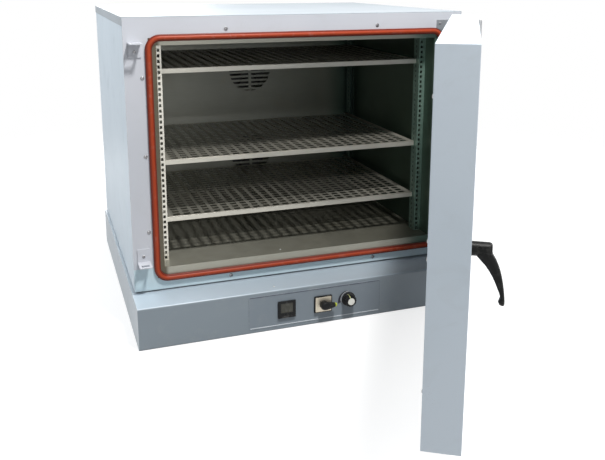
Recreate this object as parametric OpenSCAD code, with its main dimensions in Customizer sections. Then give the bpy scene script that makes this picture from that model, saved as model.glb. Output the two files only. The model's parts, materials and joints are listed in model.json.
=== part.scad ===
// Dry heat sterilizer: a bench oven with a side-hinged door, a plinth that carries
// the controls, a stainless chamber with three removable shelves, and two fans.
// Frame: origin at the middle of the plinth's underside, +X to the right of a person
// who faces the door, -Y out of the front, +Z up. Sizes are millimetres and degrees.

/* [Cabinet] */
// Width over the top cover
body_w = 1000; // [900:10:1200]
// Height of the cabinet above the plinth
body_h = 762; // [740:2:860]
// Depth of the cabinet from the front frame to the rear panel
body_d = 830; // [815:5:900]
// Thickness of the painted sheet
panel_t = 2; // [1.5:0.5:3]
// Thickness of the top cover's sheet
cover_t = 1.5; // [1:0.5:2.5]
// How far the top cover comes down the sides
cover_skirt = 24; // [15:1:40]
// Height of the dark gap between the plinth and the cabinet
body_lift = 5; // [3:1:10]
// How far the cabinet's bottom flange is set back
lift_inset = 14; // [8:1:30]

/* [Plinth] */
// Height of the plinth
base_h = 121; // [110:1:160]
// How far the plinth stands out in front of the cabinet
ledge_d = 105; // [100:1:150]
// How far the plinth stands out at each side
base_side = 6; // [2:1:15]
// Rounding of the plinth's front edges
base_edge_r = 5; // [3:1:10]

/* [Front frame] */
// Height of the top strip at its ends
top_strip_h = 61; // [50:1:70]
// Height up to which the bottom strip's ends reach
bottom_strip_h = 70; // [60:1:90]
// Depth of the strips' folded outer edge
strip_fold = 16; // [8:1:30]

/* [Chamber] */
// Distance from the cabinet's side to the chamber's side wall
side_wall = 87; // [82:1:110]
// Distance from the cabinet's top to the chamber's ceiling
top_wall = 76; // [72:1:90]
// Distance from the cabinet's back to the chamber's rear wall
rear_wall = 125; // [120:1:160]
// Height of the chamber floor above the plinth
chamber_floor = 68; // [62:1:80]
// Thickness of the stainless sheet
liner_t = 1.5; // [1:0.5:2]
// Width of the stainless flange at the sides of the opening
flange_side = 21; // [15:1:25]
// Width of the flange above the opening
flange_top = 20; // [15:1:24]
// Width of the flange below the opening
flange_bottom = 30; // [25:1:40]
// Distance from the baffle's face to the chamber's rear wall
baffle_gap = 58; // [54:1:80]
// Height of the air gaps above and below the baffle
baffle_slot = 20; // [10:1:40]

/* [Door seal] */
// Width of the seal
seal_w = 18; // [14:1:20]
// How far the seal stands out of the front frame
seal_proud = 11.6; // [10:0.1:11.7]
// Outer corner radius of the seal
seal_r = 40; // [30:1:60]

/* [Shelf rails] */
// Width of a rail's perforated front face, from the chamber wall
rail_face = 21; // [16:1:28]
// Depth of a rail's inner leg
rail_leg = 35; // [25:1:50]
// Distance of the front rails behind the front plane
rail_set = 55; // [40:1:80]
// Distance of the rear rails' back from the baffle
rail_back = 20; // [5:1:40]
// Width of a rail hole
rail_hole_w = 7; // [5:0.5:8]
// Height of a rail hole
rail_hole_h = 8.5; // [6:0.5:10]
// Spacing of the rail holes
rail_pitch = 15.2; // [14:0.1:20]

/* [Shelves] */
// Distance of a shelf's back edge from the baffle
shelf_back = 59; // [40:1:160]
// Height of a shelf's front lip
shelf_lip = 14; // [8:1:14]
// Running gap between a shelf and each rail
shelf_gap = 2; // [1:0.5:6]
// Distance of a shelf's front lip behind the front rails' faces
shelf_set = 14; // [10:1:30]
// Width of a shelf hole
shelf_hole_w = 19; // [12:1:22]
// Depth of a shelf hole
shelf_hole_d = 16; // [10:1:19]
// Sideways spacing of the shelf holes
shelf_pitch_x = 30; // [26:1:40]
// Spacing of the shelf holes from front to back
shelf_pitch_y = 25; // [22:1:36]
// Plain border at a shelf's edges
shelf_border = 10; // [8:1:30]
// Rail hole, counted from the floor, that carries the bottom shelf
slot_bottom = 7; // [4:1:9]
// Rail hole that carries the middle shelf
slot_middle = 18; // [15:1:20]
// Rail hole, counted down from the highest, that carries the top shelf
slot_drop = 4; // [4:1:13]
// Width of a runner's shelf rest
runner_w = 16; // [12:1:30]
// Height of a runner
runner_h = 14; // [11:1:20]

/* [Fans and heaters] */
// Sideways place of the fans
fan_x = 18; // [-60:1:60]
// Distance of the upper fan's axis below the chamber's ceiling
fan_drop = 155; // [130:1:180]
// Height of the lower fan's axis above the chamber's floor
fan_rise = 157; // [130:1:180]
// Radius of a fan's grille in the baffle
grille_r = 76; // [60:1:85]
// Height of a grille slot
grille_slot = 7.5; // [4:0.5:10]
// Spacing of the grille slots
grille_pitch = 15; // [12:0.5:20]
// Width of the rib across the grille slots
grille_rib = 10; // [6:0.5:16]
// Radius of a fan wheel
wheel_r = 72; // [55:1:80]
// Depth of a fan wheel's blades
blade_d = 26; // [18:1:30]
// Number of blades on a fan wheel
blades = 10; // [6:1:14]
// Radius of a fan shaft
shaft_r = 4; // [3:0.5:6]
// Radius of a heater coil, to the middle of its tube
heater_r = 96; // [90:1:110]
// Radius of a heater's tube
heater_tube = 4; // [3:0.5:5]
// Radius of a fan motor
motor_r = 38; // [30:1:50]
// Length of a fan motor's case
motor_len = 46; // [36:1:48]

/* [Door] */
// Angle that the door stands open at
door_open = 58.2; // [0:0.1:150]
// Thickness of the door
door_t = 75; // [72:1:90]
// Gap between the front frame and the shut door
door_gap = 12; // [12:0.5:16]
// Gap under the door
door_foot = 4; // [3:1:10]
// How far the door ends below the top of the cabinet
door_drop = 6; // [4:1:20]
// Width of the shell's fold round the inner panel
door_fold = 9; // [6:0.5:9.5]
// Width of the latch channel along the door's free edge
latch_channel = 84; // [78:1:120]

/* [Hinges] */
// How far the hinge axis lies outside the cabinet's side
hinge_out = 6; // [6:0.5:12]
// How far the hinge axis lies in front of the door's outer face
hinge_front = 5; // [4:0.5:10]
// Radius of a hinge knuckle
knuckle_r = 7; // [6:0.5:7.5]
// Radius of a hinge pin
pin_r = 4; // [3:0.5:4.5]
// Height of a hinge
hinge_h = 96; // [80:1:140]
// Height of a hinge's middle knuckle
knuckle_h = 40; // [30:1:60]
// Distance from the cabinet's top to the upper hinge
hinge_drop = 24; // [20:1:30]
// Height of the lower hinge's foot above the plinth
hinge_foot = 10; // [8:1:14]
// Thickness of the hinge plates
hinge_t = 4; // [3:0.5:5]
// Width of a hinge's plate on the front frame
hinge_plate_w = 83; // [60:1:90]
// Length of a hinge's leaf on the door
leaf_w = 56; // [40:1:90]

/* [Latch] */
// Distance of the latch rods from the door's free edge
latch_x = 30; // [27:1:36]
// How far the door handle sits above the door's middle
handle_rise = 16; // [-20:1:40]
// Radius of a latch rod
rod_r = 5; // [4:0.5:6]
// Travel of a latch rod
rod_travel = 15; // [10:1:20]
// Distance of the top keeper's tab below the cabinet's top
keeper_drop = 69; // [66:1:82]
// Height of the bottom keeper's tab above the plinth
keeper_bottom_z = 89; // [80:1:100]
// Width of a keeper
keeper_w = 34; // [28:1:36]
// How far a keeper's tab stands out of the front frame
keeper_out = 50; // [44:1:56]
// Thickness of the keepers
keeper_t = 3; // [2:0.5:4]
// Height of a keeper's plate on the frame
keeper_plate_h = 40; // [30:1:60]
// Width of the hole in a keeper's tab
keeper_hole_w = 22; // [18:1:24]
// Depth of the hole in a keeper's tab
keeper_hole_d = 15; // [14:1:18]

/* [Handle] */
// Radius of the handle's hub
hub_r = 13; // [11:0.5:16]
// How far the hub stands out of the door
hub_len = 36; // [30:1:50]
// Length of the lever below the hub's axis
lever_len = 103; // [80:1:130]
// Width of the lever
lever_w = 17; // [12:1:22]
// How far the lever's tip stands out beyond the hub
lever_out = 22; // [8:1:30]
// Radius of the spindle behind the handle
spindle_r = 5; // [4:0.5:6]

/* [Controls] */
// Width of the control panel
panel_w = 402; // [340:2:460]
// Height of the control panel
panel_h = 97; // [80:1:99]
// Middle of the controls above the plinth's underside
controls_z = 61; // [56:1:64]
// Sideways place of the controller
display_x = -90; // [-130:1:-70]
// Width of the controller's bezel
display_w = 52; // [44:1:72]
// Height of the controller's bezel
display_h = 50; // [44:1:60]
// How far the bezel stands out
display_proud = 5; // [3:1:10]
// Sideways place of the rotary switch
switch_x = 20; // [0:1:30]
// Width of the switch plate
switch_w = 54; // [44:1:60]
// Height of the switch plate
switch_h = 50; // [44:1:60]
// Length of the switch lever
switch_lever = 44; // [30:1:50]
// Width of the switch lever
switch_lever_w = 13; // [9:1:18]
// How far the switch lever stands out of its plate
switch_lever_d = 20; // [14:1:28]
// Sideways place of the thermostat knob
knob_x = 99; // [92:1:140]
// Radius of the knob
knob_r = 21; // [16:0.5:24]
// How far the knob stands out
knob_d = 24; // [16:1:32]
// Radius of the knob's cap
knob_cap_r = 10.5; // [9:0.5:14]

/* [Cable entry] */
// Radius of the bore in the cable gland
gland_bore_r = 5; // [3:0.5:6]
// Height of the cable gland above the plinth's underside
gland_z = 60; // [30:1:90]

/* [Fixings] */
// Radius of a frame screw's head
screw_head_r = 4.5; // [3:0.5:6]
// Height of a screw's head
screw_head_h = 2.4; // [2:0.1:3.5]
// Radius of a screw's shank
shank_r = 2; // [1.5:0.1:2.5]
// Length of a screw below its head
shank_len = 10; // [8:1:16]
// Spacing of the screws beside the seal
side_screw_pitch = 213; // [150:1:240]
// Spacing of the screws above and below the seal
top_screw_pitch = 448; // [300:1:600]

/* [Hidden] */
$fn = 48;
eps = 0.01;
// A gap that keeps curved faces of neighbours apart
clear = 0.3;
// A running fit, on the radius
fit = 0.05;
front_y = ledge_d - (body_d + ledge_d) / 2;
rear_y = front_y + body_d;
side_x = body_w / 2 - cover_t;
inner_x = side_x - panel_t;
roof_z = body_h - panel_t;
deck_z = body_lift + panel_t;
ch_x = body_w / 2 - side_wall;
ch_top = body_h - top_wall;
chamber_h = ch_top - chamber_floor;
chamber_d = body_d - rear_wall;
open_x = ch_x + flange_side;
open_top = ch_top + flange_top;
open_foot = chamber_floor - flange_bottom;
baffle_y = chamber_d - baffle_gap;
bulkhead_y = chamber_d + 52;
liner_out = ch_x + liner_t;
seal_x = open_x + seal_w / 2;
seal_top = open_top + seal_w / 2;
seal_foot = open_foot - seal_w / 2;
rail_x = ch_x - rail_face;
shelf_w = 2 * (rail_x - shelf_gap);
shelf_y = rail_set + shelf_set;
rear_rail_y = baffle_y - rail_back - rail_leg;
shelf_d = baffle_y - shelf_back - shelf_y;
shelf_rise = 9;
hole_count = floor((chamber_h - rail_pitch) / rail_pitch);
slot_top = hole_count - slot_drop;
fan_top_z = ch_top - fan_drop;
fan_bottom_z = chamber_floor + fan_rise;
fan_y = chamber_d - 12;
heater_y = (baffle_y + fan_y) / 2 + 4;
heater_half = 26;
heater_drop = sqrt(heater_r * heater_r - heater_half * heater_half);
sensor_x = fan_x + heater_r + 94;
sensor_z = (fan_top_z + fan_bottom_z) / 2;
sensor_r = 3;
door_w = body_w;
door_h = body_h - door_foot - door_drop;
door_in_y = -door_gap;
door_out_y = -door_gap - door_t;
pivot = [body_w / 2 + hinge_out, door_out_y - hinge_front];
latch_line = -door_w / 2 + latch_x;
latch_y = -keeper_out * 0.68;
handle_z = door_foot + door_h / 2 + handle_rise;
keeper_top_z = body_h - keeper_drop;
handle_y = door_out_y - hub_len;
control_z = controls_z - base_h;
knob_z = control_z + 4;
base_front = -ledge_d;
panel_face = base_front - 1;
switch_face = panel_face - 6;
hinge_z = [body_h - hinge_drop - hinge_h, hinge_foot];
gland_x = body_w / 2 - 90;
gland_r = gland_bore_r + 3;
case_w = 48;
case_h = 84;

function hole_z(n) = chamber_floor + rail_pitch * (n + 0.5);
function shelf_z(slot) = hole_z(slot) + shelf_rise;
function bezier(a, b, c, t) = a * (1 - t) * (1 - t) + b * 2 * t * (1 - t) + c * t * t;

// Moves what is drawn from the middle of the front frame's foot to its place
module at_front() {
    translate([0, front_y, base_h]) children();
}

// A block between two opposite corners
module block(a, b) {
    translate(a) cube(b - a);
}

// A cylinder along Y, from one depth to another
module rod_y(x, z, y0, y1, r) {
    translate([x, y1, z]) rotate([90, 0, 0]) cylinder(r = r, h = y1 - y0);
}

// What is drawn, and its mirror image on the other side
module both_sides() {
    children();
    mirror([1, 0, 0]) children();
}

// Turns what is drawn on the shut door to where the door stands
module door_pose() {
    at_front() translate(pivot) rotate([0, 0, door_open]) translate(-pivot) children();
}

// An outline in the Y and Z directions, made into a bar along X
module bar_x(x0, x1) {
    translate([x0, 0, 0]) rotate([90, 0, 90]) linear_extrude(x1 - x0) children();
}

// A flat outline in the X and Z directions, made into a plate from one depth to another
module plate_y(y0, y1) {
    translate([0, y1, 0]) rotate([90, 0, 0]) linear_extrude(y1 - y0) children();
}

// A screw with a domed and slotted head that stands on a face looking up
module screw(head_r) {
    difference() {
        intersection() {
            cylinder(r = head_r, h = screw_head_h);
            translate([0, 0, screw_head_h - 2 * head_r]) sphere(r = 2 * head_r);
        }
        block([-head_r, -0.5, screw_head_h * 0.55], [head_r, 0.5, screw_head_h + 1]);
    }
    translate([0, 0, -shank_len]) cylinder(r = shank_r, h = shank_len + eps);
}

// A screw in a face that looks along -Y
module screw_y(head_r) {
    rotate([90, 0, 0]) screw(head_r);
}

// A hole for a screw in a face that looks along -Y
module screw_hole_y(y0, y1) {
    rod_y(0, 0, y0, y1, shank_r + clear);
}

// Places the screws of the front frame: a column at each side, a pair at top and foot
module frame_screw_places() {
    mid = (seal_top + seal_foot) / 2 + 16;
    for (x = [-1, 1], n = [-1, 0, 1])
        translate([x * (seal_x + 9.5), 0, mid + n * side_screw_pitch]) children();
    for (x = [-0.5, 0.5], z = [seal_top + 11, seal_foot - 10])
        translate([x * top_screw_pitch, 0, z]) children();
}

// Places the screws of the keepers
module keeper_screw_places() {
    for (z = [keeper_top_z - 22, keeper_bottom_z + 18])
        translate([latch_line, 0, z]) children();
}

// Places the screws of the hinges' plates
module hinge_screw_places() {
    x0 = body_w / 2 - hinge_plate_w + 10;
    x1 = body_w / 2 - 20;
    places = [[x0, hinge_z[0] + hinge_h - 11], [x1, hinge_z[0] + 22],
              [x0, hinge_z[1] + 9], [x1, hinge_z[1] + hinge_h - 22]];
    for (p = places) translate([p[0], 0, p[1]]) children();
}

// Bores the holes for every screw of the front frame
module front_holes(y0, y1) {
    frame_screw_places() screw_hole_y(y0, y1);
    keeper_screw_places() screw_hole_y(y0, y1);
    hinge_screw_places() screw_hole_y(y0, y1);
}

// Plinth

module plinth_outline(inset) {
    r = base_edge_r - inset;
    y0 = base_front + inset;
    y1 = body_d - inset;
    z0 = -base_h + (inset > 0 ? -eps : 0);
    z1 = -inset;
    translate([y0 + r, z0]) square([y1 - y0 - r, z1 - z0]);
    translate([y0, z0 + r]) square([r + eps, z1 - z0 - 2 * r]);
    for (z = [z0 + r, z1 - r]) translate([y0 + r, z]) circle(r);
}

module base_plinth() {
    half = body_w / 2 + base_side;
    color("lightsteelblue") at_front() difference() {
        bar_x(-half, half) plinth_outline(0);
        bar_x(-half + panel_t, half - panel_t) plinth_outline(panel_t);
        block([display_x - display_w / 2 + 3, base_front - eps, control_z - display_h / 2 + 3],
              [display_x + display_w / 2 - 3, base_front + panel_t + 1, control_z + display_h / 2 - 3]);
        rod_y(switch_x, control_z, base_front - 1, base_front + panel_t + 1, 11);
        rod_y(knob_x, knob_z, base_front - 1, base_front + panel_t + 1, 5.5);
        rod_y(gland_x, gland_z - base_h, body_d - panel_t - 1, body_d + 1, gland_r + clear);
        ledge_screw_place() translate([0, 0, -panel_t - 1]) cylinder(r = shank_r + clear, h = panel_t + 2);
    }
}

// Places the small screw in the plinth's ledge
module ledge_screw_place() {
    translate([-118, -ledge_d * 0.74, 0]) children();
}

module base_bottom_plate() {
    half = body_w / 2 + base_side - panel_t;
    color("slategray") at_front() difference() {
        block([-half, base_front + base_edge_r, -base_h],
              [half, body_d - panel_t, -base_h + panel_t]);
        for (n = [-3:3])
            block([n * 40 - 3, body_d / 2 - 60, -base_h - 1],
                  [n * 40 + 3, body_d / 2 + 60, -base_h + panel_t + 1]);
    }
}

// Cabinet shell

module cabinet_bottom_panel() {
    color("slategray") at_front() difference() {
        union() {
            block([-inner_x, panel_t, body_lift], [inner_x, body_d - panel_t, deck_z]);
            block([-inner_x + lift_inset, lift_inset, 0],
                  [inner_x - lift_inset, body_d - lift_inset, body_lift]);
        }
        block([-inner_x + 2 * lift_inset, 2 * lift_inset, -eps],
              [inner_x - 2 * lift_inset, body_d - 2 * lift_inset, body_lift]);
    }
}

module side_panel() {
    block([inner_x, panel_t, body_lift], [side_x, body_d, roof_z]);
}

module left_side_panel() {
    color("lightsteelblue") at_front() mirror([1, 0, 0]) side_panel();
}

module right_side_panel() {
    color("lightsteelblue") at_front() side_panel();
}

module rear_panel() {
    louvre_w = 120;
    color("lightsteelblue") at_front() difference() {
        block([-inner_x, body_d - panel_t, body_lift], [inner_x, body_d, roof_z]);
        for (z = [fan_top_z, fan_bottom_z], x = [-1, 1], n = [-4:4])
            translate([fan_x + x * (louvre_w / 2 + 14), 0, z + n * 14])
                block([-louvre_w / 2, body_d - panel_t - 1, -2.5], [louvre_w / 2, body_d + 1, 2.5]);
    }
}

module top_cover() {
    color("white") at_front() {
        block([-side_x, 0, roof_z], [side_x, body_d, body_h]);
        both_sides() block([side_x, 0, body_h - cover_skirt], [body_w / 2, body_d, body_h]);
    }
}

// The flat outline of the opening that the strips leave for the flange
module frame_opening(y0, y1) {
    block([-open_x, y0, open_foot], [open_x, y1, open_top]);
}

module front_top_strip() {
    z0 = body_h - top_strip_h;
    color("gainsboro") at_front() difference() {
        union() {
            block([-side_x, 0, z0], [side_x, panel_t, roof_z]);
            block([-inner_x, 0, roof_z - panel_t], [inner_x, strip_fold, roof_z]);
        }
        frame_opening(-1, strip_fold + 1);
        front_holes(-1, panel_t + 1);
    }
}

module front_bottom_strip() {
    color("gainsboro") at_front() difference() {
        union() {
            block([-side_x, 0, body_lift], [side_x, panel_t, bottom_strip_h]);
            block([-inner_x, 0, deck_z], [inner_x, strip_fold, deck_z + panel_t]);
        }
        frame_opening(-1, strip_fold + 1);
        front_holes(-1, panel_t + 1);
    }
}

module side_strip(side) {
    difference() {
        mirror([side < 0 ? 1 : 0, 0, 0]) union() {
            block([open_x, 0, bottom_strip_h], [side_x, panel_t, body_h - top_strip_h]);
            block([inner_x - panel_t, 0, bottom_strip_h],
                  [inner_x, strip_fold, body_h - top_strip_h]);
        }
        front_holes(-1, panel_t + 1);
    }
}

module front_left_strip() {
    color("gainsboro") at_front() side_strip(-1);
}

module front_right_strip() {
    color("gainsboro") at_front() side_strip(1);
}

module motor_bulkhead() {
    color("silver") at_front() difference() {
        block([-inner_x, bulkhead_y, deck_z], [inner_x, bulkhead_y + panel_t, roof_z]);
        rear_holes(bulkhead_y - 1, bulkhead_y + panel_t + 1);
    }
}

// The boards between the liner and the shell: two sides, top, foot and rear
module insulation_boards() {
    x1 = liner_out - clear;
    y0 = panel_t;
    z0 = deck_z + panel_t;
    z1 = roof_z - panel_t;
    color("khaki") at_front() difference() {
        union() {
            both_sides() block([liner_out, y0, z0], [inner_x - panel_t, bulkhead_y, z1]);
            block([-x1, y0, ch_top + liner_t], [x1, bulkhead_y, z1]);
            block([-x1, y0, z0], [x1, bulkhead_y, chamber_floor - liner_t]);
            block([-x1, chamber_d + liner_t, chamber_floor - liner_t + clear],
                  [x1, bulkhead_y, ch_top + liner_t - clear]);
        }
        front_holes(0, shank_len + 1);
        floor_screw_place() translate([0, 0, -shank_len - 1]) cylinder(r = shank_r + clear, h = shank_len);
        rear_holes(chamber_d, bulkhead_y + 1);
    }
}

// Bores the holes for the shafts, the heaters' ends and the sensor
module rear_holes(y0, y1) {
    for (z = [fan_top_z, fan_bottom_z]) {
        rod_y(fan_x, z, y0, y1, shaft_r + 3);
        heater_legs(z, y0, y1, heater_tube + clear);
    }
    rod_y(sensor_x, sensor_z, y0, y1, sensor_r + clear);
}

// Places the small screw in the chamber floor
module floor_screw_place() {
    translate([-65, 30, chamber_floor]) children();
}

// Chamber

module chamber_liner() {
    color("silver") at_front() difference() {
        union() {
            block([-liner_out, 0, chamber_floor - liner_t],
                  [liner_out, chamber_d + liner_t, ch_top + liner_t]);
            frame_opening(0, liner_t);
        }
        block([-ch_x, -1, chamber_floor], [ch_x, chamber_d, ch_top]);
        rear_holes(chamber_d - 1, chamber_d + liner_t + 1);
        floor_screw_place() translate([0, 0, -liner_t - 1]) cylinder(r = shank_r + clear, h = liner_t + 2);
    }
}

// The seal's section, standing on the frame: X across it, Y out of the frame
module seal_section() {
    r = seal_w / 2;
    translate([-r, 0]) square([seal_w, seal_proud - r]);
    intersection() {
        translate([0, seal_proud - r]) circle(r);
        translate([-r, 0]) square([seal_w, seal_proud]);
    }
}

// A straight run of the seal, from a point along +X
module seal_run(len) {
    rotate([90, 0, 90]) linear_extrude(len) seal_section();
}

module door_seal() {
    mid = seal_r - seal_w / 2;
    half_w = seal_x - seal_r;
    half_h = (seal_top - seal_foot) / 2 - seal_r;
    color("firebrick") at_front() translate([0, 0, (seal_top + seal_foot) / 2])
        rotate([90, 0, 0]) {
            for (a = [0, 180]) rotate([0, 0, a]) {
                translate([-half_w, half_h + mid, 0]) seal_run(2 * half_w);
                translate([half_w + mid, half_h, 0]) rotate([0, 0, -90]) seal_run(2 * half_h);
                translate([half_w, half_h, 0]) seal_corner(mid, 0);
                translate([-half_w, half_h, 0]) seal_corner(mid, 90);
            }
        }
}

module seal_corner(mid, turn) {
    rotate([0, 0, turn]) rotate_extrude(angle = 90) translate([mid, 0]) seal_section();
}

module grille(z) {
    rows = floor(grille_r / grille_pitch);
    plate_y(baffle_y - 1, baffle_y + liner_t + 1) intersection() {
        translate([fan_x, z]) circle(grille_r);
        translate([fan_x, z]) difference() {
            for (n = [-rows:rows])
                translate([-grille_r, n * grille_pitch - grille_slot / 2])
                    square([2 * grille_r, grille_slot]);
            translate([-grille_rib / 2, -grille_r]) square([grille_rib, 2 * grille_r]);
        }
    }
}

module rear_baffle() {
    z0 = chamber_floor + baffle_slot;
    z1 = ch_top - baffle_slot;
    color("silver") at_front() difference() {
        union() {
            block([-ch_x, baffle_y, z0], [ch_x, baffle_y + liner_t, z1]);
            both_sides() block([ch_x - liner_t, baffle_y, z0], [ch_x, chamber_d, z1]);
        }
        grille(fan_top_z);
        grille(fan_bottom_z);
    }
}

// A rail's section seen from above: a leg on the wall, a face, and an inner leg
module rail_section() {
    translate([rail_x, 0]) square([rail_face, liner_t]);
    translate([ch_x - liner_t, 0]) square([liner_t, rail_leg * 0.6]);
    translate([rail_x, 0]) square([liner_t, rail_leg]);
}

module rail() {
    face_x = rail_x + liner_t + (rail_face - 2 * liner_t) * 0.36;
    difference() {
        translate([0, 0, chamber_floor]) linear_extrude(chamber_h) rail_section();
        for (n = [0:hole_count]) {
            block([face_x - rail_hole_w / 2, -1, hole_z(n) - rail_hole_h / 2],
                  [face_x + rail_hole_w / 2, liner_t + 1, hole_z(n) + rail_hole_h / 2]);
            block([rail_x - 1, rail_leg * 0.6 - rail_hole_w / 2, hole_z(n) - rail_hole_h / 2],
                  [rail_x + liner_t + 1, rail_leg * 0.6 + rail_hole_w / 2,
                   hole_z(n) + rail_hole_h / 2]);
        }
    }
}

module front_shelf_rails() {
    color("silver") at_front() both_sides() translate([0, rail_set, 0]) rail();
}

module rear_shelf_rails() {
    color("silver") at_front() both_sides()
        translate([0, rear_rail_y + rail_leg, 0]) mirror([0, 1, 0]) rail();
}

// One runner: an upright with a hook in each rail, and the rest that the shelf slides on
module runner(slot) {
    top = shelf_z(slot) - liner_t;
    y0 = shelf_y + liner_t + 2;
    y1 = rear_rail_y + rail_leg;
    x1 = rail_x - clear;
    hook_y = [rail_set + rail_leg * 0.6, rear_rail_y + rail_leg * 0.4];
    block([x1 - liner_t, y0, top - runner_h], [x1, y1, top]);
    block([x1 - runner_w, y0, top - liner_t], [x1, y1, top]);
    for (y = hook_y)
        block([x1 - liner_t, y - rail_hole_w / 2 + clear, hole_z(slot) - rail_hole_h / 2 + clear],
              [rail_x + liner_t + 2, y + rail_hole_w / 2 - clear,
               hole_z(slot) - rail_hole_h / 2 + clear + liner_t]);
}

module shelf_runners() {
    color("silver") at_front() for (slot = [slot_bottom, slot_middle, slot_top])
        both_sides() runner(slot);
}

module shelf_holes() {
    nx = floor((shelf_w - 2 * shelf_border - shelf_hole_w) / shelf_pitch_x);
    ny = floor((shelf_d - 2 * shelf_border - shelf_hole_d) / shelf_pitch_y);
    x0 = -nx * shelf_pitch_x / 2;
    for (i = [0:nx], j = [0:ny])
        translate([x0 + i * shelf_pitch_x - shelf_hole_w / 2, shelf_border + j * shelf_pitch_y])
            square([shelf_hole_w, shelf_hole_d]);
}

module shelf(slot) {
    color("silver") at_front() translate([0, shelf_y, shelf_z(slot)]) {
        translate([0, 0, -liner_t]) linear_extrude(liner_t) difference() {
            translate([-shelf_w / 2, 0]) square([shelf_w, shelf_d]);
            shelf_holes();
        }
        block([-shelf_w / 2, 0, -shelf_lip], [shelf_w / 2, liner_t, 0]);
    }
}

module top_shelf() {
    shelf(slot_top);
}

module middle_shelf() {
    shelf(slot_middle);
}

module bottom_shelf() {
    shelf(slot_bottom);
}

// Fans, heaters and sensor behind the baffle

module fan(z) {
    wheel_y = fan_y - blade_d;
    color("silver") at_front() {
        rod_y(fan_x, z, fan_y, fan_y + liner_t, wheel_r);
        rod_y(fan_x, z, wheel_y, bulkhead_y + panel_t + motor_len * 0.6, shaft_r);
        rod_y(fan_x, z, wheel_y + 4, fan_y + 0.5, shaft_r + 8);
        translate([fan_x, 0, z]) for (n = [0:blades - 1])
            rotate([0, n * 360 / blades, 0]) translate([wheel_r * 0.45, 0, 0]) rotate([0, 30, 0])
                block([0, wheel_y, -0.75], [wheel_r * 0.48, fan_y + 0.5, 0.75]);
    }
}

module upper_fan() {
    fan(fan_top_z);
}

module lower_fan() {
    fan(fan_bottom_z);
}

module fan_motor(z) {
    y0 = bulkhead_y + panel_t;
    bore_len = motor_len * 0.6;
    color("dimgray") at_front() difference() {
        union() {
            rod_y(fan_x, z, y0 + 4, y0 + motor_len, motor_r);
            for (a = [45:90:315]) translate([fan_x, 0, z]) rotate([0, a, 0])
                rod_y(motor_r * 0.82, 0, y0, y0 + 5, 5);
            rod_y(fan_x, z, y0 + motor_len - eps, y0 + motor_len + 8, motor_r * 0.4);
        }
        rod_y(fan_x, z, y0 - 1, y0 + bore_len + 1, shaft_r + fit);
    }
}

module upper_fan_motor() {
    fan_motor(fan_top_z);
}

module lower_fan_motor() {
    fan_motor(fan_bottom_z);
}

// The two straight ends of a heater coil, which pass through the rear wall
module heater_legs(z, y0, y1, r) {
    for (x = [-1, 1]) rod_y(fan_x + x * heater_half, z - heater_drop, y0, y1, r);
}

module heater_coils() {
    gap_angle = 2 * asin(heater_half / heater_r);
    color("dimgray") at_front() for (z = [fan_top_z, fan_bottom_z]) {
        translate([fan_x, heater_y, z]) rotate([90, 0, 0]) rotate([0, 0, -90 + gap_angle / 2])
            rotate_extrude(angle = 360 - gap_angle) translate([heater_r, 0]) circle(heater_tube);
        for (x = [-1, 1])
            translate([fan_x + x * heater_half, heater_y, z - heater_drop])
                sphere(heater_tube + 0.5);
        heater_legs(z, heater_y, bulkhead_y + panel_t + 12, heater_tube);
    }
}

module temperature_sensor() {
    y1 = bulkhead_y + panel_t;
    color("silver") at_front() {
        rod_y(sensor_x, sensor_z, baffle_y + 12, y1 + 10, sensor_r);
        rod_y(sensor_x, sensor_z, y1, y1 + 8, sensor_r + 4);
    }
}

// Hinges

// The hinge's plate on the frame, cut round the seal, and its arm beside the door
module hinge_bracket(z0) {
    x1 = body_w / 2;
    arm_x = x1 + 1;
    z_mid = z0 + hinge_h / 2;
    half = knuckle_h / 2 - clear;
    difference() {
        union() {
            difference() {
                block([x1 - hinge_plate_w, -hinge_t, z0], [arm_x + hinge_t, 0, z0 + hinge_h]);
                seal_keepout(-hinge_t - 1, 1);
            }
            block([arm_x, pivot[1], z_mid - half], [arm_x + hinge_t, -eps, z_mid + half]);
            translate([pivot[0], pivot[1], z_mid - half]) cylinder(r = knuckle_r, h = 2 * half);
        }
        translate([pivot[0], pivot[1], z0 - 1]) cylinder(r = pin_r + fit, h = hinge_h + 2);
        hinge_screw_places() screw_hole_y(-hinge_t - 1, 1);
    }
}

// The seal's outer outline with a clearance, as a rounded block
module seal_keepout(y0, y1) {
    w = seal_x + 1;
    r = seal_r + 1;
    z0 = seal_foot - 1;
    z1 = seal_top + 1;
    block([-w, y0, z0 + r], [w, y1, z1 - r]);
    block([-w + r, y0, z0], [w - r, y1, z1]);
    for (x = [-w + r, w - r], z = [z0 + r, z1 - r]) rod_y(x, z, y0, y1, r);
}

module upper_hinge_bracket() {
    color("gray") at_front() hinge_bracket(hinge_z[0]);
}

module lower_hinge_bracket() {
    color("gray") at_front() hinge_bracket(hinge_z[1]);
}

module hinge_pins() {
    color("silver") at_front() for (z = hinge_z) translate([pivot[0], pivot[1], z]) {
        cylinder(r = pin_r, h = hinge_h + clear + eps);
        translate([0, 0, hinge_h + clear]) cylinder(r = pin_r + 2, h = 2.5);
    }
}

// A leaf on the door's outer face, with a knuckle above and below the bracket's
module hinge_leaf(z0) {
    y0 = door_out_y - hinge_t + 1;
    h = (hinge_h - knuckle_h) / 2;
    x1 = pivot[0] - knuckle_r;
    difference() {
        union() {
            for (z = [z0, z0 + hinge_h - h]) {
                translate([pivot[0], pivot[1], z]) cylinder(r = knuckle_r, h = h);
                block([x1 - 1, y0, z], [pivot[0], door_out_y, z + h]);
            }
            block([body_w / 2 - leaf_w, y0, z0], [x1 - clear, door_out_y, z0 + hinge_h]);
        }
        translate([pivot[0], pivot[1], z0 - 1]) cylinder(r = pin_r + fit, h = hinge_h + 2);
    }
}

module door_hinge_leaves() {
    color("gray") door_pose() for (z = hinge_z) hinge_leaf(z);
}

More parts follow.
